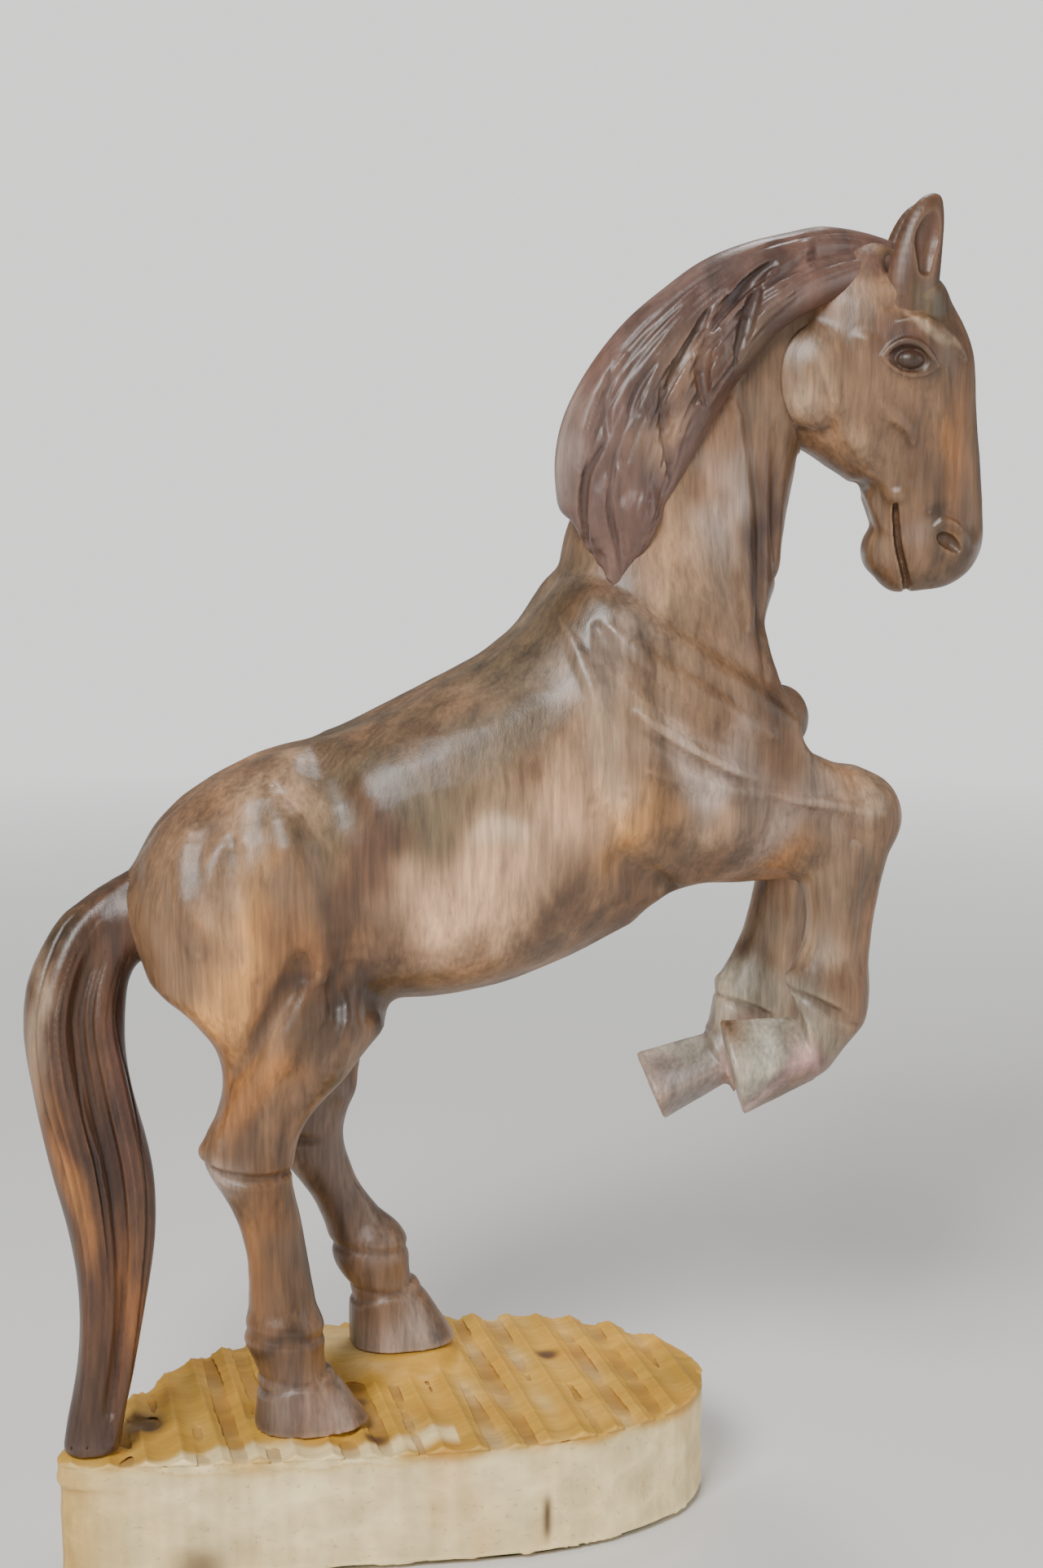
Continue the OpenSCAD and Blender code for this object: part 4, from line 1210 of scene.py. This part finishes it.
class Shader:
    """A node material put together step by step. Its textures follow the object's own place."""

    def __init__(self, name):
        self.material = bpy.data.materials.new(name)
        self.material.use_nodes = True
        self.tree = self.material.node_tree
        self.surface = self.tree.nodes["Principled BSDF"]
        self.place = self.add("ShaderNodeTexCoord").outputs["Object"]

    def add(self, kind, inputs=(), **settings):
        node = self.tree.nodes.new(kind)
        for key, value in settings.items():
            setattr(node, key, value)
        for key, value in dict(inputs).items():
            self.feed(node.inputs[key], value)
        return node

    def feed(self, socket, value):
        if isinstance(value, bpy.types.NodeSocket):
            self.tree.links.new(value, socket)
        else:
            socket.default_value = value

    def noise(self, scale, stretch=(1, 1, 1), detail=3.0, distortion=0.0):
        """Noise from 0 to 1 at a scale per metre, drawn out where stretch is below 1."""
        place = self.times(self.place, stretch)
        settings = {"Vector": place, "Scale": scale, "Detail": detail, "Distortion": distortion}
        return self.add("ShaderNodeTexNoise", settings).outputs[0]

    def times(self, a, b):
        return self.add("ShaderNodeVectorMath", {0: a, 1: b}, operation="MULTIPLY").outputs[0]

    def remap(self, value, low, high, to_low=0.0, to_high=1.0):
        settings = {"Value": value, "From Min": low, "From Max": high, "To Min": to_low, "To Max": to_high}
        return self.add("ShaderNodeMapRange", settings).outputs[0]

    def math(self, operation, a, b):
        return self.add("ShaderNodeMath", {0: a, 1: b}, operation=operation).outputs[0]

    def mix(self, factor, a, b):
        a, b = ((*c, 1) if isinstance(c, tuple) else c for c in (a, b))
        return self.add("ShaderNodeMix", {0: factor, 6: a, 7: b}, data_type="RGBA").outputs[2]

    def scaled(self, colour, factor):
        return self.add("ShaderNodeVectorMath", {0: colour, "Scale": factor}, operation="SCALE").outputs[0]

    def attribute(self, name, output):
        return self.add("ShaderNodeAttribute", attribute_name=name).outputs[output]

    def bump(self, height, distance, strength=1.0, under=None):
        inputs = {"Height": height, "Distance": distance, "Strength": strength}
        if under is not None:
            inputs["Normal"] = under
        return self.add("ShaderNodeBump", inputs).outputs[0]

    def done(self, **inputs):
        for key, value in inputs.items():
            self.feed(self.surface.inputs[key.replace("_", " ")], value)
        return self.material


def carved_wood(name, grain, dark, wax, streak=0.6, cavity_gain=1.0, rough=(0.36, 0.5), coat=0.14,
                blots=0.28, cloudy=0.28, lift=2.2):
    """Stained and waxed carved wood.

    grain is how its texture is drawn out along X, Y and Z. dark fills pores, and is the painted shade
    laid into hollows, the sooner the higher cavity_gain is; wax with the stain made brighter by lift
    shows on worn ridges. streak, blots and cloudy are how strong its fibres, its small stains and its
    slow changes are.
    """
    s = Shader(name)
    fibres = s.noise(480.0, grain, 6.0, 0.3)
    bands = s.noise(95.0, grain, 3.0, 0.6)
    pores = s.noise(1500.0, grain, 2.0)
    cloud = s.noise(16.0, (1, 1, 0.6), 4.0, 0.8)
    tone = s.attribute("tone", "Color")
    cavity = s.attribute("cavity", "Fac")
    strength = s.math("ADD", s.remap(fibres, 0.3, 0.7, -0.34 * streak, 0.34 * streak),
                      s.remap(bands, 0.3, 0.7, 1 - 0.42 * streak, 1 + 0.42 * streak))
    colour = s.scaled(tone, s.math("MULTIPLY", strength, s.remap(cloud, 0.25, 0.75, 1 - cloudy, 1 + cloudy)))
    warmth = s.remap(s.noise(34.0, (1, 1, 0.5), 3.0), 0.5, 0.75, 0.0, 0.3)
    colour = s.mix(warmth, colour, s.times(s.scaled(colour, 0.8), (1.45, 1.0, 0.7)))
    stains = s.noise(30.0, (1, 1, 0.3), 5.0, 1.2)
    colour = s.scaled(colour, s.remap(stains, 0.42, 0.62, 1 + 0.4 * blots, 1 - blots))
    colour = s.mix(s.remap(pores, 0.62, 0.78, 0.0, 0.35), colour, dark)
    # painted shade: the hollows are darkened towards dark
    colour = s.mix(s.remap(cavity, 0.05, 0.9 / cavity_gain, 0.0, 0.85), colour, dark)
    worn = s.remap(cavity, -0.12, -0.8, 0.0, 0.45)
    colour = s.mix(worn, colour, s.mix(0.4, s.scaled(colour, lift), wax))
    colour = s.add("ShaderNodeGamma", {"Color": colour, "Gamma": DEPTH_OF_TONE}).outputs[0]
    polish = s.math("ADD", s.remap(cloud, 0.3, 0.7, *rough), s.remap(cavity, 0.0, 0.6, 0.0, 0.2))
    normal = s.bump(fibres, 0.0004, 0.35, s.bump(bands, 0.0012, 0.3, s.bump(pores, 0.0003, 0.3)))
    return s.done(Base_Color=colour, Roughness=polish, Normal=normal, Coat_Weight=coat, Coat_Roughness=0.33)


def plain_wood(name, colour, dark):
    """Turned dowel wood, with its grain along its length."""
    s = Shader(name)
    fibres = s.noise(500.0, (1, 1, 0.12), 4.0, 0.4)
    ground = s.mix(s.remap(fibres, 0.35, 0.7), colour, dark)
    cloud = s.noise(40.0)
    tone = s.scaled(ground, s.remap(cloud, 0.3, 0.7, 0.85, 1.15))
    dull = s.remap(cloud, 0.3, 0.7, 0.5, 0.7)
    return s.done(Base_Color=tone, Roughness=dull, Normal=s.bump(fibres, 0.0003, 0.4))


def zinc(name):
    """Zinc-plated steel, a little tarnished."""
    s = Shader(name)
    stain, scratches = s.noise(180.0, detail=5.0), s.noise(900.0, (1, 0.08, 1), 2.0)
    colour = s.mix(s.remap(stain, 0.4, 0.7), (0.62, 0.63, 0.64), (0.40, 0.39, 0.36))
    shine = s.math("ADD", s.remap(stain, 0.3, 0.7, 0.22, 0.42), s.remap(scratches, 0.5, 0.7, 0.0, 0.12))
    return s.done(Base_Color=colour, Metallic=1.0, Roughness=shine, Normal=s.bump(scratches, 0.0001, 0.4))


def felt(name):
    """Dark green felt with a short nap."""
    s = Shader(name)
    nap, wear = s.noise(1600.0, detail=4.0), s.noise(30.0)
    colour = s.mix(s.remap(nap, 0.35, 0.65), (0.012, 0.035, 0.022), (0.035, 0.085, 0.055))
    colour = s.mix(s.remap(wear, 0.55, 0.75, 0.0, 0.35), colour, (0.07, 0.10, 0.075))
    dull = s.remap(wear, 0.3, 0.7, 0.88, 0.97)
    return s.done(Base_Color=colour, Roughness=dull, Normal=s.bump(nap, 0.0006, 0.6))


# ---------------------------------------------------------------- putting the statue together

# Edges sharper than this stay crisp
SEAM_ANGLE = math.radians(62)
# How far down its sides the slab's golden top reaches, and the size of the tool marks on the body, in mm
GOLD_DEPTH = 7.0
FACET = 13.0


def softened(clay, passes):
    """A blurred copy: its distance is below zero in the clay's grooves and above zero on its ridges."""
    soft = Clay((0, 0, 0), (0, 0, 0), clay.voxel)
    soft.start, soft.count, soft.d = clay.start, clay.count, blurred(clay.d.copy(), passes)
    return soft


def clay_object(name, clay, moved=None):
    points, quads = clay.mesh()
    return make_object(name, moved(points) if moved else points, quads)


def give_material(obj, material):
    """Puts a material on an object."""
    obj.data.materials.clear()
    obj.data.materials.append(material)


def finished(obj, node, material, stain, soft, straight=None):
    """Gives a finished block its stain with painted highlights, its hollowness for painted shade, its
    material, and its place in the frame.
    """
    points = points_of(obj)
    paint(obj, stain(points), -soft.sample(straight(points) if straight else points))
    give_material(obj, material)
    obj.data.polygons.foreach_set("use_smooth", np.ones(len(obj.data.polygons), bool))
    obj.data.set_sharp_from_angle(angle=SEAM_ANGLE)
    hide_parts(node)
    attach(obj, "root")


def patchwork(ground, patches, unevenness=1.0):
    """The stain and painted highlights of a block as a function of its points."""
    return lambda points: stain_and_highlights(points, ground, patches, unevenness)


def slab_stain_and_highlight(points):
    """Golden on top and paler down the sides, with an uneven line between them. The pale straw is the sides'
    own colour pushed near white, partly a painted highlight.
    """
    x, y, z = points.T
    low, top = node_box("base")[0], node_box("hind_leg_right")[0][2]
    gold, straw = np.array(COLOURS["gold"]), np.array(COLOURS["straw"])
    edge = top - GOLD_DEPTH + 1.2 * np.sin(x / 13.0 + y / 9.0) + 0.8 * np.sin(x / 5.3) + np.sin(x / 37.0)
    share = 1 / (1 + np.exp(-(z - edge) / 1.2))
    share = np.maximum(share, np.exp(-((x - low[0]) / 26) ** 2) * 0.7)[:, None]
    colour = straw * (1 - share) + gold * share
    front = np.exp(-((y - low[1] - 14 - 6 * np.sin(x / 17.0)) / 9) ** 4) * (x < 25) * 0.85
    middle = np.exp(-(((x + 15) / 22) ** 2 + ((y - 38) / 26) ** 2) ** 2) * 0.5
    for paler in (front * (z > edge), middle * (z > edge)):
        colour = colour * (1 - paler[:, None]) + straw * paler[:, None]
    knots = [((kx, ky, top - 2), 6.0) for kx, ky in KNOTS]
    for centre, radius in [(c, max(r) + 2.0) for c, r in CHIPS] + knots:
        away = np.linalg.norm(points - np.array(centre), axis=1) / radius
        share = (0.9 * np.exp(-away ** 4))[:, None]
        colour = colour * (1 - share) + np.array(COLOURS["walnut"]) * share
    check = np.exp(-((x - 66) / 2.2) ** 2 - ((z - 20) / 11) ** 4 - ((y - low[1]) / 6) ** 2)[:, None]
    return colour * (1 - check) + np.array(COLOURS["umber"]) * check


def head_joint(turn, cheeks):
    """The space that belongs to the head block: ahead of its joint with the neck, and the cheeks."""
    head_points = node_mesh("head")[0]
    on_face = head_points[np.abs((head_points - turn.seat) @ turn.axis) < 0.05]
    space = head_wedge(turn, on_face[on_face[:, 2].argmin()])
    for cheek in cheeks:
        centre, axes = turn.turned([cheek.centre])[0], turn.turned(cheek.turn + turn.pivot) - turn.pivot
        round_space = ball_solid("cheek", Ball(centre, cheek.radii + 0.4, axes))
        whole = boolean("head_space", space, round_space, "UNION")
        discard(space, round_space)
        space = whole
    return space


def clean_cut(name, whole, against):
    """The largest piece of a solid that stays clear of another one."""
    piece = boolean(name, whole, against, "DIFFERENCE")
    keep_largest(piece)
    discard(whole)
    return piece


def small_parts():
    """Dowels, screws, washers and felt keep their CAD meshes and get materials."""
    dowel_wood = plain_wood("dowel_wood", (0.55, 0.38, 0.22), (0.40, 0.25, 0.13))
    steel, nap = zinc("zinc_steel"), felt("felt")
    for name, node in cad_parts.items():
        if node.hide_render:
            continue
        metal = "screw" in name or "washer" in name
        material = steel if metal else nap if "felt" in name else dowel_wood
        give_material(node, material)


def assemble():
    body = body_clay()
    body.chisel(FACET, 0.5, np.diag([1 / 1.8, 1, 1]), 7, body.start * body.voxel,
                (body.start + body.count) * body.voxel)
    turn = HeadTurn()
    head, cheeks = head_clay(turn)
    mane, tail, base = mane_clay(), tail_clay(), base_clay()
    horse = clay_object("horse", body)
    skull = clay_object("skull", head, turn.turned)
    mane_piece = clay_object("mane_block", mane)
    tail_piece = clean_cut("tail_block", clay_object("whole_tail", tail), horse)
    head_space = head_joint(turn, cheeks)

    # The third value of each wood is its dark: the colour of its pores and of the painted shade in its
    # hollows, near black in the deep grooves of mane and tail.
    wood = carved_wood("body_wood", (1, 1, 0.07), COLOURS["umber"], COLOURS["cream"])
    mane_wood = carved_wood("mane_wood", (0.5, 1, 0.12), (0.03, 0.016, 0.014), COLOURS["pearl"], 0.4, 1.4)
    tail_wood = carved_wood("tail_wood", (1, 1, 0.06), (0.03, 0.014, 0.01), COLOURS["rose"], 0.5, 1.4)
    slab_wood = carved_wood("slab_wood", (0.15, 1, 0.3), (0.26, 0.12, 0.03), (0.93, 0.68, 0.31), 0.22, 0.6,
                            (0.45, 0.65), 0.05, 0.06, 0.12, 1.2)

    soft_body = softened(body, 3)
    for node, space in body_solids().items():
        cuts = (space, head_space, mane_piece) if node == "neck" else (space,)
        block = sawn(node + "_block", horse, *cuts)
        discard(space)
        finished(block, node, wood, patchwork("base", BODY_PATCHES + HOOF_PATCHES), soft_body)
    block = sawn("head_block", skull, head_space, mane_piece)
    finished(block, "head", wood, patchwork("base", HEAD_PATCHES, 0.3), softened(head, 4), turn.straight)
    for hand in HANDS:
        clay = ear_clay(hand)
        ear = clean_cut("ear_block_" + hand, clay_object("whole_ear", clay), skull)
        finished(ear, "ear_" + hand, wood, patchwork("walnut", HEAD_PATCHES, 0.3), softened(clay, 6))
    finished(mane_piece, "mane", mane_wood, patchwork("mauve", MANE_PATCHES, 0.5), softened(mane, 4))
    finished(tail_piece, "tail", tail_wood, patchwork("walnut", TAIL_PATCHES, 0.4), softened(tail, 4))
    finished(clay_object("slab", base), "base", slab_wood, slab_stain_and_highlight, softened(base, 3))
    discard(horse, skull, head_space)
    small_parts()


assemble()


# ---------------------------------------------------------------- stage, light and camera

BACKDROP = (0.80, 0.80, 0.79)
CAMERA_SEES = 1.55
# Where each lamp stands, its size and its power, for a statue one metre tall
LIGHTS = {
    "key": ((-1.6, -2.3, 2.2), 1.3, 150),
    "fill": ((2.6, -1.8, 0.9), 1.8, 22),
    "top": ((0.6, 1.2, 2.8), 0.9, 45),
}
# The camera's place for a statue one metre tall, its turn about Z and its dip in degrees
CAMERA_PLACE = (-0.23329, -1.60309, 0.81158)
CAMERA_TURN, CAMERA_DIP = -12.0, 8.6


def floor_material(height):
    """Pale paper that runs into the backdrop far from the statue."""
    s = Shader("studio_paper")
    fibre = s.noise(300.0, detail=4.0)
    paper = s.mix(fibre, (0.74, 0.73, 0.71), (0.78, 0.77, 0.75))
    s.done(Base_Color=paper, Roughness=0.9, Normal=s.bump(fibre, 0.0002, 0.2))
    far = s.add("ShaderNodeVectorMath", {0: s.place}, operation="LENGTH").outputs["Value"]
    share = s.remap(far, 1.2 * height, 4.0 * height)
    haze = s.add("ShaderNodeEmission", {"Color": (*BACKDROP, 1), "Strength": CAMERA_SEES})
    blend = s.add("ShaderNodeMixShader", {0: share, 1: s.surface.outputs[0], 2: haze.outputs[0]})
    s.feed(s.tree.nodes["Material Output"].inputs["Surface"], blend.outputs[0])
    return s.material


def backdrop(strength):
    """An even pale world that the camera sees brighter than it lights."""
    world = bpy.data.worlds.new("studio_world")
    bpy.context.scene.world = world
    world.use_nodes = True
    tree = world.node_tree
    light = tree.nodes["Background"]
    light.inputs["Color"].default_value = (*BACKDROP, 1)
    seen = tree.nodes.new("ShaderNodeLightPath").outputs["Is Camera Ray"]
    power = tree.nodes.new("ShaderNodeMapRange")
    tree.links.new(seen, power.inputs["Value"])
    power.inputs["To Min"].default_value = strength
    power.inputs["To Max"].default_value = CAMERA_SEES
    tree.links.new(power.outputs[0], light.inputs["Strength"])


def studio():
    height = CAD_BOX[1][2] - CAD_BOX[0][2]
    reach = 20 * height
    mesh = bpy.data.meshes.new("studio_floor")
    corners = [(-reach, -reach, 0), (reach, -reach, 0), (reach, reach, 0), (-reach, reach, 0)]
    mesh.from_pydata(corners, [], [(0, 1, 2, 3)])
    mesh.materials.append(floor_material(height))
    floor = bpy.data.objects.new("studio_floor", mesh)
    bpy.context.scene.collection.objects.link(floor)
    backdrop(0.3)

    centre = Vector((0.05 * height, 0, 0.55 * height))
    for name, (place, size, power) in LIGHTS.items():
        data = bpy.data.lights.new(name, "AREA")
        data.energy = power * height * height
        data.size = size * height
        lamp = bpy.data.objects.new(name, data)
        bpy.context.scene.collection.objects.link(lamp)
        lamp.location = centre + Vector(place) * height
        lamp.rotation_euler = (centre - lamp.location).to_track_quat("-Z", "Y").to_euler()

    data = bpy.data.cameras.new("camera")
    data.lens = 50
    data.sensor_fit = "VERTICAL"
    data.sensor_height = 36
    camera = bpy.data.objects.new("camera", data)
    bpy.context.scene.collection.objects.link(camera)
    turn, dip = math.radians(CAMERA_TURN), math.radians(CAMERA_DIP)
    back = Vector((math.sin(turn) * math.cos(dip), -math.cos(turn) * math.cos(dip), math.sin(dip)))
    camera.location = Vector(CAMERA_PLACE) * height
    camera.rotation_euler = (-back).to_track_quat("-Z", "Y").to_euler()
    bpy.context.scene.camera = camera


studio()
